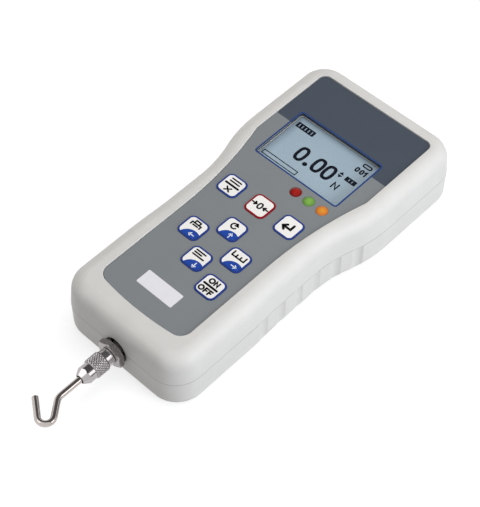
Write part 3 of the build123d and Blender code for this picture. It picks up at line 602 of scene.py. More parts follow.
@dataclass(frozen=True)
class Laminate(Finish):
    """Solder-masked board with faint copper runs under the mask."""

    name: str
    mask: Colour
    copper: Colour
    run_width: float = 1.4
    run_stretch: Point = (1.0, 0.12, 1.0)
    run_edge: Flat = (0.52, 0.56)
    run_share: float = 0.5

    def make(self) -> bpy.types.Material:
        """Build the material: straight runs made by a stepped noise.

        Returns:
            The material.
        """
        shader = Shader.new(self.name)
        runs = shader.noise(self.run_width, 0.0, self.run_stretch)
        track = shader.fade(runs, *self.run_edge)
        colour = shader.blend(shader.calc("MULTIPLY", track, self.run_share), self.mask, self.copper)
        shader.set(Base_Color=colour, Roughness=0.35)
        shader.bump(track, depth=0.03)
        return shader.material


BLACK_INK = Print("black_ink", ink(14, 14, 16))
WHITE_INK = Print("white_ink", ink(236, 240, 246))
BLACK_PLASTIC = Moulded("black_plastic", ink(34, 34, 36), rough=0.4)
TIN_PLATE = Metal("tin_plate", ink(190, 192, 194), rough=0.35)
BLACK_OXIDE = Metal("black_oxide", ink(44, 42, 42), rough=0.34)
ZINC_PLATE = Metal("zinc_plate", ink(196, 198, 200), rough=0.32)


# ---------------------------------------------------------------- flat shapes, as loops of points


def rounded_rectangle(size: Flat, radius: float, centre: Flat = (0.0, 0.0), steps: int = 10) -> Loop:
    """Return a rounded rectangle, anticlockwise.

    Each corner is a quarter circle of the radius round a point that lies the radius inside both sides.

    Args:
        size: Width and height.
        radius: Corner radius.
        centre: Middle of the rectangle.
        steps: Points in each corner.

    Returns:
        The loop's points, one row each.
    """
    half = np.array(size) / 2 - radius
    quarter = np.linspace(0, np.pi / 2, steps)
    corners = []
    for side_x, side_y, turn in ((1, 1, 0), (-1, 1, np.pi / 2), (-1, -1, np.pi), (1, -1, 1.5 * np.pi)):
        round_part = radius * np.stack([np.cos(quarter + turn), np.sin(quarter + turn)], 1)
        corners.append(np.array([side_x, side_y]) * half + round_part)
    return np.concatenate(corners) + np.array(centre)


def oval(size: Flat, centre: Flat, power: float = 2.0, steps: int = 48) -> Loop:
    """Return a superellipse, |x/a|^p + |y/b|^p = 1, anticlockwise.

    Args:
        size: Width and height.
        centre: Its middle.
        power: The power p, 2 for an ellipse and more for squarer ends.
        steps: Points round it.

    Returns:
        The loop's points.
    """
    turn = np.linspace(0, 2 * np.pi, steps, endpoint=False)
    circle = np.stack([np.cos(turn), np.sin(turn)], 1)
    return np.sign(circle) * np.abs(circle) ** (2 / power) * np.array(size) / 2 + np.array(centre)


def arc(centre: Flat, radius: float, begin: float, end: float, steps: int = 18) -> Loop:
    """Return points round part of a circle.

    Args:
        centre: The circle's middle.
        radius: Its radius.
        begin: First angle in degrees.
        end: Last angle in degrees.
        steps: Number of points.

    Returns:
        The points.
    """
    turn = np.radians(np.linspace(begin, end, steps))
    return radius * np.stack([np.cos(turn), np.sin(turn)], 1) + np.array(centre)


def stroke(points: Path, width: float, steps: int = 7) -> Loop:
    """Return the outline of a pen line with round ends.

    Each inner point moves out along the mean of its two runs' normals, lengthened so that both runs keep
    their width; each end carries half a circle.

    Args:
        points: The pen's path.
        width: Width of the line.
        steps: Points in each round end.

    Returns:
        The outline, anticlockwise.
    """
    path = np.array(points, float)
    along = np.diff(path, axis=0)
    along /= np.linalg.norm(along, axis=1, keepdims=True)
    normal = np.stack([-along[:, 1], along[:, 0]], 1)
    joint = np.concatenate([normal[:1], normal[:-1] + normal[1:], normal[-1:]])
    joint /= np.linalg.norm(joint, axis=1, keepdims=True)
    sharpest = 0.45
    reach = 1 / np.maximum(sharpest, np.sum(joint[1:-1] * normal[1:], 1))
    offset = joint * np.concatenate([[1.0], reach, [1.0]])[:, None] * width / 2
    turn = np.linspace(-np.pi / 2, np.pi / 2, steps)[1:-1, None]
    last = path[-1] + width / 2 * (np.cos(turn) * along[-1] + np.sin(turn) * normal[-1])
    first = path[0] + width / 2 * (-np.cos(turn) * along[0] - np.sin(turn) * normal[0])
    return np.concatenate([path - offset, last, (path + offset)[::-1], first])


def plate(loop: Loop, low: float, high: float) -> Solid:
    """Return a closed flat plate.

    Args:
        loop: Its edge, anticlockwise.
        low: Height of its underside.
        high: Height of its top.

    Returns:
        Its points and faces.
    """
    count = len(loop)
    here = np.arange(count)
    after = np.roll(here, -1)
    points = np.concatenate([np.c_[loop, np.full(count, level)] for level in (low, high)])
    sides = np.stack([here, after, after + count, here + count], 1)
    return points, [here[::-1].tolist(), (here + count).tolist(), *sides.tolist()]


def frame_plate(outer: Loop, inner: Loop, low: float, high: float) -> Solid:
    """Return a closed flat plate with a hole.

    Args:
        outer: Its edge, anticlockwise.
        inner: The hole's edge, with as many points.
        low: Height of its underside.
        high: Height of its top.

    Returns:
        Its points and faces.
    """
    count = len(outer)
    flat = np.concatenate([outer, inner])
    points = np.concatenate([np.c_[flat, np.full(2 * count, level)] for level in (low, high)])
    here = np.arange(count)
    after = np.roll(here, -1)
    hole, top = count, 2 * count
    bands = [
        np.stack([here + top, after + top, after + hole + top, here + hole + top], 1),
        np.stack([here, here + hole, after + hole, after], 1),
        np.stack([here, after, after + top, here + top], 1),
        np.stack([here + hole, here + hole + top, after + hole + top, after + hole], 1),
    ]
    return points, np.concatenate(bands).tolist()


def gather(solids: list[Solid]) -> Solid:
    """Return several solids as one.

    Args:
        solids: Points and faces of each.

    Returns:
        All points and all faces.
    """
    points, faces, base = [], [], 0
    for solid_points, solid_faces in solids:
        points.append(solid_points)
        faces.extend((np.array(face) + base).tolist() for face in solid_faces)
        base += len(solid_points)
    return np.concatenate(points), faces


def turned(profile: np.ndarray, around: int, axis_z: float, cut: np.ndarray) -> Solid:
    """Return a closed body of revolution about the measuring axis.

    A point of the profile at distance r goes to x = r sin t, z = axis + r cos t, for t round the full turn;
    cut is taken off r, point by point and turn by turn.

    Args:
        profile: Rows of y and r, from one end of the axis to the other; both end radii are 0.
        around: Points in a full turn.
        axis_z: Height of the axis.
        cut: Depth to take off, one row for each profile point and one column for each turn.

    Returns:
        The body's points and faces.
    """
    turn = np.linspace(0, 2 * np.pi, around, endpoint=False)
    middle = profile[1:-1]
    radius = middle[:, 1:] - cut[1:-1]
    y = np.broadcast_to(middle[:, :1], radius.shape)
    grid = np.stack([radius * np.sin(turn), y, axis_z + radius * np.cos(turn)], -1).reshape(-1, 3)
    ends = np.array([[0, profile[0, 0], axis_z], [0, profile[-1, 0], axis_z]])
    rows = np.arange(len(middle) - 1)[:, None] * around
    here = np.arange(around)
    after = np.roll(here, -1)
    quads = np.stack([rows + here, rows + after, rows + around + after, rows + around + here], -1)
    first, last, tail = len(grid), len(grid) + 1, (len(middle) - 1) * around
    faces = quads.reshape(-1, 4).tolist()
    faces += np.stack([np.full(around, first), after, here], 1).tolist()
    faces += np.stack([np.full(around, last), here + tail, after + tail], 1).tolist()
    return np.concatenate([grid, ends]), faces


@dataclass(frozen=True)
class Patch:
    """A rounded rectangle on the panel or the display."""

    size: Flat
    centre: Flat
    radius: float
    steps: int = 10

    def loop(self) -> Loop:
        """Return its outline."""
        return rounded_rectangle(self.size, self.radius, self.centre, self.steps)


# ---------------------------------------------------------------- pieces


@dataclass
class Bench:
    """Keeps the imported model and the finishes, and puts new pieces on it."""

    frame: dict
    finishes: dict[str, bpy.types.Material] = field(default_factory=dict)

    def finish(self, finish: Finish) -> bpy.types.Material:
        """Return a finish's material, made once.

        Args:
            finish: The finish.

        Returns:
            Its material.
        """
        if finish.name not in self.finishes:
            self.finishes[finish.name] = finish.make()
        return self.finishes[finish.name]

    def dress(self, finish: Finish, *nodes: str) -> None:
        """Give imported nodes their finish.

        Args:
            finish: The finish.
            *nodes: The nodes' names.
        """
        for node in nodes:
            slots = self.frame["nodes"][node].data.materials
            slots.clear()
            slots.append(self.finish(finish))
            LOG.info("%s is finished in %s", node, finish.name)

    def add(self, name: str, solid: Solid, finish: Finish, body: str, slot: str,
            sharp: float | None = None) -> bpy.types.Object:
        """Make a piece of its points and faces and let it ride on a body.

        Args:
            name: Name of the piece.
            solid: Points in millimetres and faces.
            finish: Its finish.
            body: The moving body that carries it.
            slot: The record's material slot that it belongs to; not used.
            sharp: Angle in degrees past which an edge stays sharp on a smooth piece, or None for flat.

        Returns:
            The new object.
        """
        mesh = bpy.data.meshes.new(name)
        mesh.from_pydata((solid[0] * MM).tolist(), [], solid[1])
        mesh.validate()
        mesh.materials.append(self.finish(finish))
        if sharp is not None:
            mesh.shade_smooth()
            mesh.set_sharp_from_angle(angle=math.radians(sharp))
        piece = bpy.data.objects.new(name, mesh)
        bpy.context.scene.collection.objects.link(piece)
        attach(piece, body)
        LOG.info("%s rides on %s", name, body)
        return piece

    @staticmethod
    def middle(node: str) -> Flat:
        """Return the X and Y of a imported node's middle."""
        low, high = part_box(node)
        return (low.x + high.x) / 2 / MM, (low.y + high.y) / 2 / MM

    @staticmethod
    def height(node: str, top: bool = True) -> float:
        """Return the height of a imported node's top, or of its underside."""
        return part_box(node)[1 if top else 0].z / MM


@dataclass
class Housing:
    """The two shells, with the seam between them, and what screws them together."""

    shell: Colour = ink(215, 213, 210)
    brass: Colour = ink(205, 172, 98)

    def dress(self, bench: Bench) -> None:
        """Give the shells, screws and inserts their finishes.

        Args:
            bench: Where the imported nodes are.
        """
        seam = bench.height("front_housing", top=False)
        seat = bench.height("face_panel", top=False)
        # The shells get painted shade along the seam and on the seat in the gap round the panel.
        plastic = Moulded("housing_plastic", self.shell, rough=0.45, seam=seam, seat=seat)
        bench.dress(plastic, "front_housing", "rear_housing")
        bench.dress(ZINC_PLATE, "housing_screws", "board_screws", "bracket_screws", "load_cell_bracket")
        bench.dress(Metal("turned_brass", self.brass, rough=0.28, marks=(1, 1, 6)), "mount_inserts")


@dataclass
class FacePanel:
    """The printed film with its display outline and blank label."""

    body: Colour = ink(129, 133, 136)
    band: Colour = ink(71, 79, 91)
    band_y: float = 58.7
    outline_width: float = 0.7
    window: Flat = (43.5, 28.7)
    window_radius: float = 0.8
    label: Patch = Patch((18.7, 7.3), (-0.25, -39.95), 0.5)
    sunk: float = 0.02
    outline_lift: float = 0.03
    label_lift: float = 0.08

    def dress(self, bench: Bench) -> None:
        """Give the film its two greys, the display outline and the blank label.

        Args:
            bench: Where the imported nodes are.
        """
        bench.dress(PrintedFilm("panel_film", self.body, self.band, self.band_y), "face_panel")
        top = bench.height("face_panel")
        centre = (0.0, bench.middle("display_window")[1])
        outer_size = [side + 2 * self.outline_width for side in self.window]
        outer = rounded_rectangle(outer_size, self.window_radius + self.outline_width, centre)
        inner = rounded_rectangle(self.window, self.window_radius, centre)
        outline = frame_plate(outer, inner, top - self.sunk, top + self.outline_lift)
        blue = Print("outline_blue", ink(44, 74, 132), edge=ink(34, 58, 114))
        bench.add("display_outline", outline, blue, "case", "panel_film")
        label = plate(self.label.loop(), top - self.sunk, top + self.label_lift)
        white = Print("label_white", ink(233, 231, 235), rough=0.35)
        bench.add("blank_label", label, white, "case", "panel_film")


@dataclass
class Display:
    """The display's glass, its figures and marks, its bezel and its window.

    The figures' places hold before shift, which moves them all together on the glass.
    """

    # The glass carries painted shadow along its left and top edges.
    glass: Finish = DisplayGlass("display_glass", ink(188, 208, 222), ink(170, 191, 206),
                                 recess_shadow=ink(104, 116, 134), corner=(-23.2, 67.4))
    dark: Finish = Print("display_dark", ink(16, 18, 34))
    light: Finish = Print("display_light", ink(158, 178, 194))
    layer: float = 0.02
    sunk: float = 0.01
    shift: Flat = (-1.23, 1.3)
    roundness: float = 2.6
    reading_y: float = 48.75
    reading_x: tuple[float, ...] = (-6.6, 2.6, 8.2)
    reading_size: Flat = (5.2, 8.5)
    reading_pen: float = 1.45
    point_size: Flat = (2.2, 2.2)
    point_at: Flat = (-2.1, 45.45)
    counter_y: float = 58.2
    counter_x: tuple[float, ...] = (15.6, 17.95)
    counter_size: Flat = (1.9, 2.8)
    counter_pen: float = 0.72
    counter_one_x: Flat = (19.3, 20.0)
    counter_flag: float = 0.6
    counter_half: float = 1.2
    tag: Patch = Patch((9.6, 3.0), (-14.6, 60.1), 0.15)
    tag_bars_x: tuple[float, ...] = (-18.0, -16.3, -14.6, -12.9, -11.2)
    tag_bars_y: Flat = (59.5, 60.7)
    tag_bar_pen: float = 0.5
    small_tag: Patch = Patch((5.4, 2.5), (17.8, 51.4), 0.15)
    small_bars_x: tuple[float, ...] = (17.0, 18.6)
    small_bars_y: Flat = (51.0, 51.8)
    small_bar_pen: float = 0.45
    bar: Patch = Patch((18.8, 2.5), (-10.4, 39.2), 0.1, 4)
    bar_hole: Patch = Patch((17.9, 1.6), (-10.4, 39.2), 0.1, 4)
    memory: Patch = Patch((4.6, 2.2), (18.0, 61.9), 0.9)
    memory_hole: Patch = Patch((3.3, 0.9), (18.0, 61.9), 0.4)
    arrow_up: Path = ((11.3, 51.6), (13.7, 51.6), (12.5, 53.1))
    arrow_down: Path = ((11.3, 51.1), (12.5, 49.6), (13.7, 51.1))
    unit: Path = ((13.6, 43.7), (13.6, 46.7), (15.8, 43.7), (15.8, 46.7))
    unit_pen: float = 0.75

    def dress(self, bench: Bench) -> None:
        """Dress the display from the backlight up to the window, and draw its figures.

        Args:
            bench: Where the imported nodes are.
        """
        bench.dress(self.glass, "lcd_glass")
        bench.dress(ClearWindow("clear_acrylic"), "display_window")
        bench.dress(TIN_PLATE, "lcd_bezel")
        bench.dress(Moulded("white_plastic", ink(226, 226, 222)), "lcd_backlight")
        low = bench.height("lcd_glass") - self.sunk
        high = low + self.sunk + self.layer
        for name, solids, finish in (
            ("display_figures", [*self.reading(low, high), *self.counter(low, high)], self.dark),
            ("display_marks", self.marks(low, high), self.dark),
            ("display_tag_lines", self.tag_lines(low, high + self.layer), self.light),
        ):
            points, faces = gather(solids)
            bench.add(name, (points + (*self.shift, 0.0), faces), finish, "case", "display_glass")

    def zero(self, centre: Flat, size: Flat, pen: float, low: float, high: float) -> Solid:
        """Return a figure nought: the band between two superellipses.

        Args:
            centre: Its middle.
            size: Width and height.
            pen: Width of the band.
            low: Height of its underside.
            high: Height of its top.

        Returns:
            Its points and faces.
        """
        loops = [oval((size[0] - inset, size[1] - inset), centre, self.roundness) for inset in (0, 2 * pen)]
        return frame_plate(*loops, low, high)

    def reading(self, low: float, high: float) -> list[Solid]:
        """Return the large reading, nought point nought nought.

        Args:
            low: Height of its underside.
            high: Height of its top.

        Returns:
            Its figures.
        """
        size, pen = self.reading_size, self.reading_pen
        noughts = [self.zero((x, self.reading_y), size, pen, low, high) for x in self.reading_x]
        return [*noughts, plate(oval(self.point_size, self.point_at), low, high)]

    def counter(self, low: float, high: float) -> list[Solid]:
        """Return the small memory counter, nought nought one.

        Args:
            low: Height of its underside.
            high: Height of its top.

        Returns:
            Its figures.
        """
        y, size, pen = self.counter_y, self.counter_size, self.counter_pen
        noughts = [self.zero((x, y), size, pen, low, high) for x in self.counter_x]
        flag_x, stem_x = self.counter_one_x
        half = self.counter_half
        one = stroke([(flag_x, y + self.counter_flag), (stem_x, y + half), (stem_x, y - half)], pen)
        return [*noughts, plate(one, low, high)]

    def marks(self, low: float, high: float) -> list[Solid]:
        """Return the tags, the bar frame, the memory mark, the arrows and the unit.

        Args:
            low: Height of their underside.
            high: Height of their top.

        Returns:
            The marks.
        """
        filled = [self.tag.loop(), self.small_tag.loop(), np.array(self.arrow_up), np.array(self.arrow_down),
                  stroke(self.unit, self.unit_pen)]
        framed = ((self.bar, self.bar_hole), (self.memory, self.memory_hole))
        return [*(plate(loop, low, high) for loop in filled),
                *(frame_plate(outer.loop(), hole.loop(), low, high) for outer, hole in framed)]

    def tag_lines(self, low: float, high: float) -> list[Solid]:
        """Return the short light bars that stand in the two dark tags.

        Args:
            low: Height of their underside.
            high: Height of their top.

        Returns:
            The bars.
        """
        bars = []
        for places, (foot, head), pen in (
            (self.tag_bars_x, self.tag_bars_y, self.tag_bar_pen),
            (self.small_bars_x, self.small_bars_y, self.small_bar_pen),
        ):
            bars += [plate(stroke([(x, foot), (x, head)], pen), low, high) for x in places]
        return bars


class Corner(Enum):
    """What the lower right of a key carries: nothing, or an arrow turned by so many quarters."""

    NONE = None
    RIGHT = 0
    UP = 1
    LEFT = 2
    DOWN = 3


KEY_FACE = Print("key_face", ink(246, 243, 241), rough=0.38, edge=ink(238, 235, 231))
KEY_BLUE = Print("key_blue", ink(36, 76, 168), rough=0.38, edge=ink(32, 66, 154))
BORDER_BLUE = Print("key_border_blue", ink(38, 62, 136), rough=0.35)
BORDER_RED = Print("key_border_red", ink(146, 18, 30), rough=0.35)


@dataclass
class Key:
    """One key: its border, its light face, its marks and its arrow corner."""

    node: str
    lines: list[Path]
    pen: float = 0.72
    bar: bool = False
    bar_size: Flat = (6.6, 1.0)
    border: Print = BORDER_BLUE
    corner: Corner = Corner.NONE
    nought: bool = False
    nought_outer: Flat = (2.5, 3.5)
    nought_inner: Flat = (1.0, 2.0)
    nought_power: float = 2.4
    size: Flat = (10.35, 10.5)
    radius: float = 2.6
    border_width: float = 0.8
    swoop_centre: Flat = (2.0, -6.0)
    swoop_radius: float = 5.3
    arrow_at: Flat = (1.6, -3.0)
    arrow_reach: float = 1.25
    arrow_pen: float = 0.42
    arrow_head: Flat = (0.95, 0.8)
    shaft_short: float = 0.2
    arrow_sunk: float = 0.01
    face_lift: float = 0.02
    corner_lift: float = 0.035
    mark_lift: float = 0.04
    arrow_lift: float = 0.05

    def dress(self, bench: Bench) -> None:
        """Give the key its border colour, then its face, corner and marks as thin layers.

        Args:
            bench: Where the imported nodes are.
        """
        bench.dress(self.border, self.node)
        at = np.array(bench.middle(self.node))
        top = bench.height(self.node)
        inner = [side - 2 * self.border_width for side in self.size]
        face = rounded_rectangle(inner, self.radius - self.border_width, tuple(at), 14)
        self.layer(bench, "face", plate(face, top - self.face_lift, top + self.face_lift), KEY_FACE)
        if self.corner is not Corner.NONE:
            self.layer(bench, "corner", plate(self.swoop(face, at), top, top + self.corner_lift), KEY_BLUE)
            arrow = [plate(loop + at, top + self.arrow_sunk, top + self.arrow_lift) for loop in self.arrow()]
            self.layer(bench, "arrow", gather(arrow), WHITE_INK)
        self.layer(bench, "marks", gather(self.marks(at, top, top + self.mark_lift)), BLACK_INK)

    def layer(self, bench: Bench, name: str, solid: Solid, finish: Finish) -> None:
        """Put one printed layer on the key, so that it rides with it.

        Args:
            bench: Where the piece goes.
            name: The layer's name, after the key's.
            solid: Its points and faces.
            finish: Its ink.
        """
        bench.add(f"{self.node}_{name}", solid, finish, self.node, "key_plastic")

    def marks(self, at: np.ndarray, low: float, high: float) -> list[Solid]:
        """Return the key's black marks.

        Args:
            at: The key's middle.
            low: Height of their underside.
            high: Height of their top.

        Returns:
            The lines, then the long bar and the nought where the key has them.
        """
        marks = [plate(stroke(line, self.pen) + at, low, high) for line in self.lines]
        if self.bar:
            half, pen = self.bar_size[0] / 2, self.bar_size[1]
            marks.append(plate(stroke([(-half, 0.0), (half, 0.0)], pen) + at, low, high))
        if self.nought:
            sizes = (self.nought_outer, self.nought_inner)
            loops = [oval(size, tuple(at), self.nought_power) for size in sizes]
            marks.append(frame_plate(*loops, low, high))
        return marks

    def swoop(self, face: Loop, at: np.ndarray) -> Loop:
        """Return the part of the key's face inside a circle that swoops over its lower right.

        The face's edge is kept where it lies inside the circle, and an arc of the circle closes it.

        Args:
            face: Outline of the face.
            at: The key's middle.

        Returns:
            The part's outline.
        """
        centre = at + np.array(self.swoop_centre)
        dense = self.densified(face)
        inside = np.linalg.norm(dense - centre, axis=1) < self.swoop_radius
        start = int(np.flatnonzero(inside & ~np.roll(inside, 1))[0])
        kept = np.roll(dense, -start, 0)[: int(inside.sum())]
        first, last = kept[0] - centre, kept[-1] - centre
        begin, end = np.arctan2(last[1], last[0]), np.arctan2(first[1], first[0])
        turn = np.linspace(begin, end if end > begin else end + 2 * np.pi, 24)[1:-1]
        curve = centre + self.swoop_radius * np.stack([np.cos(turn), np.sin(turn)], 1)
        return np.concatenate([kept, curve])

    @staticmethod
    def densified(loop: Loop, parts: int = 12) -> Loop:
        """Return a loop with each run cut into equal parts."""
        share = np.linspace(0, 1, parts, endpoint=False)[None, :, None]
        return (loop[:, None] * (1 - share) + np.roll(loop, -1, 0)[:, None] * share).reshape(-1, 2)

    def arrow(self) -> list[Loop]:
        """Return the corner arrow's shaft and head, turned to its direction.

        Returns:
            The two outlines, round the key's middle.
        """
        reach, turn = self.arrow_reach, self.corner.value * np.pi / 2
        spin = np.array([[np.cos(turn), np.sin(turn)], [-np.sin(turn), np.cos(turn)]])
        back, half = self.arrow_head
        shaft = stroke([(-reach, 0), (reach - self.shaft_short, 0)], self.arrow_pen)
        head = stroke([(reach - back, half), (reach, 0), (reach - back, -half)], self.arrow_pen)
        return [loop @ spin + np.array(self.arrow_at) for loop in (shaft, head)]


@dataclass
class Keypad:
    """All eight keys and the switches under them."""

    letter: float = 1.05
    words_y: Flat = (2.4, -2.5)

    def dress(self, bench: Bench) -> None:
        """Dress each key with its own marks.

        Args:
            bench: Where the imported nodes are.
        """
        menu = [[(-2.4, 3.1), (2.4, 3.1)], [(-2.4, 1.7), (2.4, 1.7)],
                [(-1.2, -1.5), (1.2, -3.5)], [(-1.2, -3.5), (1.2, -1.5)]]
        zero = [[(-4.0, 0), (-1.9, 0)], [(-2.7, 0.8), (-1.8, 0), (-2.7, -0.8)],
                [(4.0, 0), (1.9, 0)], [(2.7, 0.8), (1.8, 0), (2.7, -0.8)]]
        enter = [[(1.5, 1.8), (1.5, -0.7), (-2.0, -0.7)], [(-1.0, 0.7), (-2.4, -0.7), (-1.0, -2.1)]]
        round_arrow = [arc((-0.4, 1.7), 1.35, 30, 330), [(0.1, 3.4), (0.95, 2.4), (-0.3, 2.15)]]
        printer = [[(-2.6, 0.9), (-2.6, 2.2), (2.0, 2.2), (2.0, 0.9)],
                   [(-1.5, 2.6), (-1.5, 3.6), (0.9, 3.6), (0.9, 2.6)], [(-1.5, 1.2), (0.9, 1.2)]]
        rule = [[(-3.0, 1.0), (3.0, 1.0)], [(-3.0, 1.0), (-3.0, 3.2)], [(-1.0, 1.0), (-1.0, 2.3)],
                [(1.0, 1.0), (1.0, 2.3)], [(3.0, 1.0), (3.0, 3.2)]]
        choice = [[(-3.0, 3.3), (1.8, 3.3)], [(-3.0, 2.1), (0.6, 2.1)], [(-3.0, 0.9), (2.6, 0.9)]]
        for key in (
            Key("key_menu", menu, bar=True),
            Key("key_zero", zero, border=BORDER_RED, nought=True),
            Key("key_enter", enter, pen=1.1),
            Key("key_up", round_arrow, corner=Corner.UP),
            Key("key_left", printer, corner=Corner.LEFT),
            Key("key_right", rule, corner=Corner.RIGHT),
            Key("key_down", choice, corner=Corner.DOWN),
            Key("key_power", self.words(), pen=0.74, bar=True),
        ):
            key.dress(bench)
        bench.dress(BLACK_PLASTIC, "key_switches")

    def words(self) -> list[Path]:
        """Return ON above the power key's bar and OFF below it, in single strokes.

        Returns:
            The strokes, round the key's middle.
        """
        (on_y, off_y), half = self.words_y, self.letter
        letter_n = [(0.5, on_y - half), (0.5, on_y + half), (2.0, on_y - half), (2.0, on_y + half)]
        letters_f = []
        for x in (-0.6, 1.5):
            letters_f.append([(x, off_y - half), (x, off_y + half), (x + 1.3, off_y + half)])
            letters_f.append([(x, off_y), (x + 1.05, off_y)])
        return [arc((-1.3, on_y), half, 0, 350), letter_n, arc((-2.5, off_y), half, 0, 350), *letters_f]


@dataclass
class Lamps:
    """The three signal lamps, each with its tint and the darker colour of its rim, painted shade."""

    red: tuple[Colour, Colour] = (ink(162, 16, 4), ink(118, 8, 4))
    green: tuple[Colour, Colour] = (ink(122, 168, 72), ink(94, 142, 54))
    orange: tuple[Colour, Colour] = (ink(222, 142, 42), ink(204, 108, 26))

    def dress(self, bench: Bench) -> None:
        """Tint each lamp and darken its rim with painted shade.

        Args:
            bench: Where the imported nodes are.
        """
        for node, tints in (("lamp_red", self.red), ("lamp_green", self.green), ("lamp_orange", self.orange)):
            bench.dress(DiffusedLamp(node, *tints, bench.middle(node)), node)


@dataclass
class MeasuringAxis:
    """The load cell, the spindle, the lock nut, the knurled chuck and the hook."""

    axis_z: float = 12.7
    knurl_count: int = 21
    knurl_depth: float = 0.34
    knurl_slope: float = 0.95
    knurl_radius: float = 4.35
    knurl_length: float = 6.3
    knurl_chamfer: float = 0.45
    knurl_step: float = 0.07
    knurl_points: int = 9
    groove_steepness: float = 1.15
    collar_radius: float = 3.7
    collar_length: float = 3.15
    collar_chamfer: float = 0.2
    spigot_radius: float = 2.9
    sharp: float = 24.0
    chromed: dict[str, object] = field(default_factory=lambda: {"marks": (1, 4, 1), "mark_size": 0.4})

    def dress(self, bench: Bench) -> None:
        """Dress the metal and put the knurled chuck in place of the plain one.

        Args:
            bench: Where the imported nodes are.
        """
        for node, finish in (
            ("lock_nut", Metal("nut_steel", ink(156, 151, 151), rough=0.2)),
            ("load_cell_bolt", BLACK_OXIDE),
            ("spindle", Metal("turned_steel", ink(188, 188, 188), rough=0.3, marks=(1, 6, 1))),
            ("collet", BLACK_OXIDE),
            ("chuck_nose", Metal("nose_chrome", ink(180, 175, 176), rough=0.18, **self.chromed, depth=0.003)),
            ("chuck_body", Metal("bright_chrome", ink(182, 177, 178), rough=0.23, **self.chromed,
                                 depth=0.004)),
            ("hook", Metal("polished_steel", ink(196, 188, 184), rough=0.15, marks=(4, 4, 1),
                           mark_size=0.5, depth=0.003)),
            ("load_cell", Metal("milled_aluminium", ink(196, 199, 202), rough=0.3, marks=(6, 1, 1))),
        ):
            bench.dress(finish, node)
        knurled = KnurledMetal("knurled_chrome", ink(200, 195, 196), rough=0.2, **self.chromed, depth=0.003,
                               axis_z=self.axis_z, root=self.knurl_radius - self.knurl_depth,
                               crest=self.knurl_radius)
        chuck = bench.add("knurled_chuck", self.chuck(), knurled, "chuck", "chuck_chrome", sharp=self.sharp)
        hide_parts("chuck_body")

    def chuck(self) -> Solid:
        """Return the chuck, turned about its axis, with a crossed knurl.

        The knurl is cut where two families of helical grooves run: with a and b the turn plus and minus
        the slope times the distance along the axis, in pitches, the depth taken off is the larger of the
        two groove profiles, each a triangle wave that is deepest in the middle of its groove.

        Returns:
            Its points and faces.
        """
        low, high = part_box("chuck_body")
        back, front = high.y / MM, low.y / MM
        knurl_back = back - self.collar_length
        knurl_front = knurl_back - self.knurl_length
        crest, rim = self.knurl_radius, self.knurl_radius - self.knurl_chamfer
        fine = np.arange(knurl_back - self.knurl_chamfer, knurl_front + self.knurl_chamfer, -self.knurl_step)
        start = [(back, 0), (back, self.collar_radius - self.collar_chamfer),
                 (back - self.collar_chamfer, self.collar_radius),
                 (knurl_back + 0.02, self.collar_radius), (knurl_back, rim)]
        end = [(knurl_front + self.knurl_chamfer, crest), (knurl_front, rim),
               (knurl_front, self.spigot_radius), (front, self.spigot_radius), (front, 0)]
        profile = np.concatenate([start, np.c_[fine, np.full(len(fine), crest)], end])
        around = self.knurl_count * self.knurl_points
        turn = np.linspace(0, 1, around, endpoint=False) * self.knurl_count
        pitch = 2 * np.pi * crest / self.knurl_count
        along = (profile[:, :1] - knurl_back) * self.knurl_slope / pitch
        waves = [np.abs(np.mod(turn[None] + sign * along, 1) - 0.5) * 2 for sign in (1, -1)]
        groove = np.maximum(*(np.clip(1 - self.groove_steepness * (1 - wave), 0, 1) for wave in waves))
        cut = self.knurl_depth * groove * (profile[:, 1:] >= crest - 1e-6)
        return turned(profile, around, self.axis_z, cut)


@dataclass
class Inside:
    """The electronics and the battery, which the housing hides."""

    board: Finish = Laminate("board_laminate", ink(24, 86, 52), ink(48, 118, 72))
    can: Finish = Metal("nickel_can", ink(186, 186, 184), rough=0.3)
    sleeve: Finish = Print("sleeve_blue", ink(34, 74, 150), rough=0.3)

    def dress(self, bench: Bench) -> None:
        """Dress the boards, sockets, buzzer and battery.

        Args:
            bench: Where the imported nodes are.
        """
        bench.dress(self.board, "main_board", "io_board")
        bench.dress(BLACK_PLASTIC, "buzzer", "charger_socket")
        bench.dress(TIN_PLATE, "data_socket")
        bench.dress(self.can, "battery_cells")
        bench.dress(self.sleeve, "battery_sleeve")


# ---------------------------------------------------------------- studio


def facing(place: Point, aim: Point) -> np.ndarray:
    """Return a rotation whose third column points from aim to place.

    Args:
        place: Where the thing stands.
        aim: The point it faces.

    Returns:
        The rotation's three rows.
    """
    away = np.array(place, float) - np.array(aim, float)
    away /= np.linalg.norm(away)
    side = np.cross((0.0, 0.0, 1.0), away)
    side /= np.linalg.norm(side)
    return np.stack([side, np.cross(away, side), away], 1)


def stand(rotation: np.ndarray, place: Point) -> Matrix:
    """Return the matrix of something turned and put in its place.

    Args:
        rotation: The rotation's three rows.
        place: Its place in millimetres.

    Returns:
        The four-row matrix, in metres.
    """
    rows = np.c_[rotation, np.array(place) * MM]
    return Matrix([*rows.tolist(), (0, 0, 0, 1)])


def sheet(name: str, points: np.ndarray, material: bpy.types.Material) -> bpy.types.Object:
    """Add a flat four-cornered sheet that belongs to the studio.

    Args:
        name: The sheet's name.
        points: Its four corners, in millimetres.
        material: Its material.

    Returns:
        The new object.
    """
    mesh = bpy.data.meshes.new(name)
    mesh.from_pydata((points * MM).tolist(), [], [[0, 1, 2, 3]])
    mesh.materials.append(material)
    made = bpy.data.objects.new(name, mesh)
    bpy.context.scene.collection.objects.link(made)
    made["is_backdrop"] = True
    LOG.info("%s is up", name)
    return made


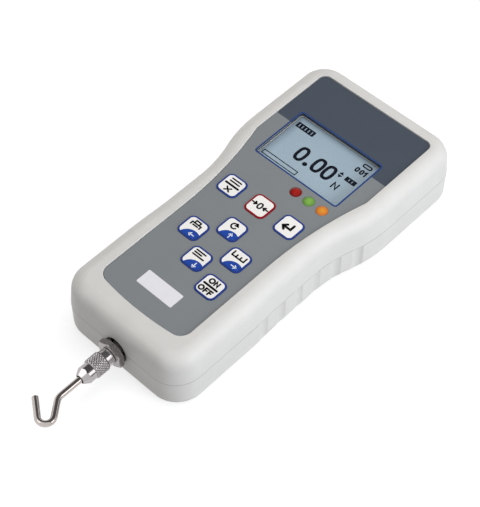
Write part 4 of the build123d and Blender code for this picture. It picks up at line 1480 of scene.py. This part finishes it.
def bare(name: str) -> bpy.types.Material:
    """Return a new material with an output and no shader.

    Args:
        name: The material's name.

    Returns:
        The material.
    """
    material = bpy.data.materials.new(name)
    material.use_nodes = True
    tree = material.node_tree
    tree.nodes.remove(tree.nodes["Principled BSDF"])
    return material


def emission(tree: bpy.types.NodeTree, strength: float) -> Socket:
    """Return white light.

    Args:
        tree: The material's node tree.
        strength: Its strength, where 1 is white.

    Returns:
        The light's socket.
    """
    light = tree.nodes.new("ShaderNodeEmission")
    light.inputs["Strength"].default_value = strength
    return light.outputs[0]


def seen(tree: bpy.types.NodeTree) -> Socket:
    """Return 1 for rays from the camera, a reflection or through glass, and 0 for the rest.

    Args:
        tree: The material's or the sky's node tree.

    Returns:
        The socket.
    """
    path = tree.nodes.new("ShaderNodeLightPath")
    total = path.outputs["Is Camera Ray"]
    for name in ("Is Glossy Ray", "Is Transmission Ray"):
        added = tree.nodes.new("ShaderNodeMath")
        added.operation = "MAXIMUM"
        tree.links.new(total, added.inputs[0])
        tree.links.new(path.outputs[name], added.inputs[1])
        total = added.outputs[0]
    return total


@dataclass(frozen=True)
class SoftBox:
    """A lamp of even light that faces a point and that reflections don't see; power is in watts."""

    name: str
    place: Point
    aim: Point
    size: Flat
    power: float
    tint: Colour

    def build(self) -> None:
        """Add the lamp."""
        data = bpy.data.lights.new(self.name, "AREA")
        data.shape = "RECTANGLE"
        data.size, data.size_y = self.size[0] * MM, self.size[1] * MM
        data.energy = self.power
        data.color = self.tint
        box = bpy.data.objects.new(self.name, data)
        box.visible_glossy = False
        box.matrix_world = stand(facing(self.place, self.aim), self.place)
        bpy.context.scene.collection.objects.link(box)
        LOG.info("%s is up", self.name)


@dataclass(frozen=True)
class Card:
    """A card that only reflections see: dark to shade bright metal, or bright to light it.

    Its glow is 1 where it is as bright as white.
    """

    name: str
    place: Point
    aim: Point
    size: Flat
    glow: float

    def build(self) -> None:
        """Add the card, facing its point."""
        flat = np.array([(-1, -1), (1, -1), (1, 1), (-1, 1)]) * np.array(self.size) / 2
        points = flat @ facing(self.place, self.aim)[:, :2].T + np.array(self.place)
        material = bare(self.name)
        tree = material.node_tree
        tree.links.new(emission(tree, self.glow), tree.nodes["Material Output"].inputs["Surface"])
        card = sheet(self.name, points, material)
        for ray in ("camera", "diffuse", "shadow", "transmission"):
            setattr(card, f"visible_{ray}", False)


@dataclass
class Studio:
    """Camera, floor, lamps and sky."""

    eye: Point = (248.56, -257.33, 481.85)
    right: Point = (0.7257, 0.6881, -0.0004)
    up: Point = (-0.5473, 0.5776, 0.6056)
    back: Point = (0.4170, -0.4392, 0.7957)
    lens: float = 103.7
    film: float = 36.0
    sight: Flat = (0.01, 20.0)
    sky: float = 0.47
    floor_side: float = 6000.0
    floor_z: float = -0.05
    floor_grey: float = 0.42
    floor_glow: float = 0.72
    cool: Colour = (0.89, 0.955, 1.0)
    warm: Colour = (1.0, 0.985, 0.96)

    def build(self) -> None:
        """Set up the camera, the sky, the floor, the lamps and the cards."""
        self.camera()
        self.world()
        self.floor()
        for thing in (
            SoftBox("side_softbox", place=(480, 60, 185), aim=(0, 10, 10), size=(260, 240), power=1.6,
                    tint=self.cool),
            SoftBox("overhead_softbox", place=(-40, 140, 620), aim=(0, 20, 10), size=(420, 420), power=1.45,
                    tint=self.warm),
            Card("overhead_flag", place=(-250, 330, 560), aim=(-250, 329, 0), size=(1300, 860), glow=0.12),
            Card("right_flag", place=(300, 60, 42), aim=(0, -60, 42), size=(640, 82), glow=0.14),
            Card("front_card", place=(-210, -400, 500), aim=(0, -100, 12), size=(230, 230), glow=2.6),
            Card("side_card", place=(438, 70, 299), aim=(0, 10, 10), size=(240, 300), glow=2.5),
        ):
            thing.build()
        bpy.context.scene.view_settings.view_transform = "Standard"

    def camera(self) -> None:
        """Place the camera by its own axes."""
        data = bpy.data.cameras.new("camera")
        data.lens = self.lens
        data.sensor_width = self.film
        data.clip_start, data.clip_end = self.sight
        camera = bpy.data.objects.new("camera", data)
        camera.matrix_world = stand(np.stack([self.right, self.up, self.back], 1), self.eye)
        bpy.context.scene.collection.objects.link(camera)
        bpy.context.scene.camera = camera

    def world(self) -> None:
        """Put white behind the object, and an even softer light on it."""
        world = bpy.data.worlds.new("sky")
        bpy.context.scene.world = world
        world.use_nodes = True
        tree = world.node_tree
        background = tree.nodes["Background"]
        background.inputs["Color"].default_value = (1, 1, 1, 1)
        level = tree.nodes.new("ShaderNodeMapRange")
        level.inputs["To Min"].default_value = self.sky
        level.inputs["To Max"].default_value = 1.0
        tree.links.new(seen(tree), level.inputs["Value"])
        tree.links.new(level.outputs[0], background.inputs["Strength"])

    def floor(self) -> None:
        """Lay a wide floor that looks white, keeps the shadow and throws back little light."""
        material = bare("floor_paper")
        tree = material.node_tree
        paper = tree.nodes.new("ShaderNodeBsdfDiffuse")
        paper.inputs["Color"].default_value = (self.floor_grey,) * 3 + (1,)
        choice = tree.nodes.new("ShaderNodeMixShader")
        total = tree.nodes.new("ShaderNodeAddShader")
        for source, socket in (
            (seen(tree), choice.inputs[0]),
            (emission(tree, 0.0), choice.inputs[1]),
            (emission(tree, self.floor_glow), choice.inputs[2]),
            (paper.outputs[0], total.inputs[0]),
            (choice.outputs[0], total.inputs[1]),
            (total.outputs[0], tree.nodes["Material Output"].inputs["Surface"]),
        ):
            tree.links.new(source, socket)
        half = self.floor_side / 2
        loop = np.array([(-half, -half), (half, -half), (half, half), (-half, half)])
        sheet("floor", np.c_[loop, np.full(4, self.floor_z)], material)


def corners() -> list[list[float]]:
    """Return the shown object's lowest and highest corner as plain lists."""
    return [[float(value) for value in corner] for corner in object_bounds()]


def main() -> None:
    """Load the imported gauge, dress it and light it."""
    logging.basicConfig(level=logging.INFO, format="%(name)s: %(message)s")
    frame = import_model()
    bench = Bench(frame)
    for part in (Housing(), FacePanel(), Display(), Keypad(), Lamps(), MeasuringAxis(), Inside()):
        part.dress(bench)
    Studio().build()


if __name__ == "__main__":
    main()
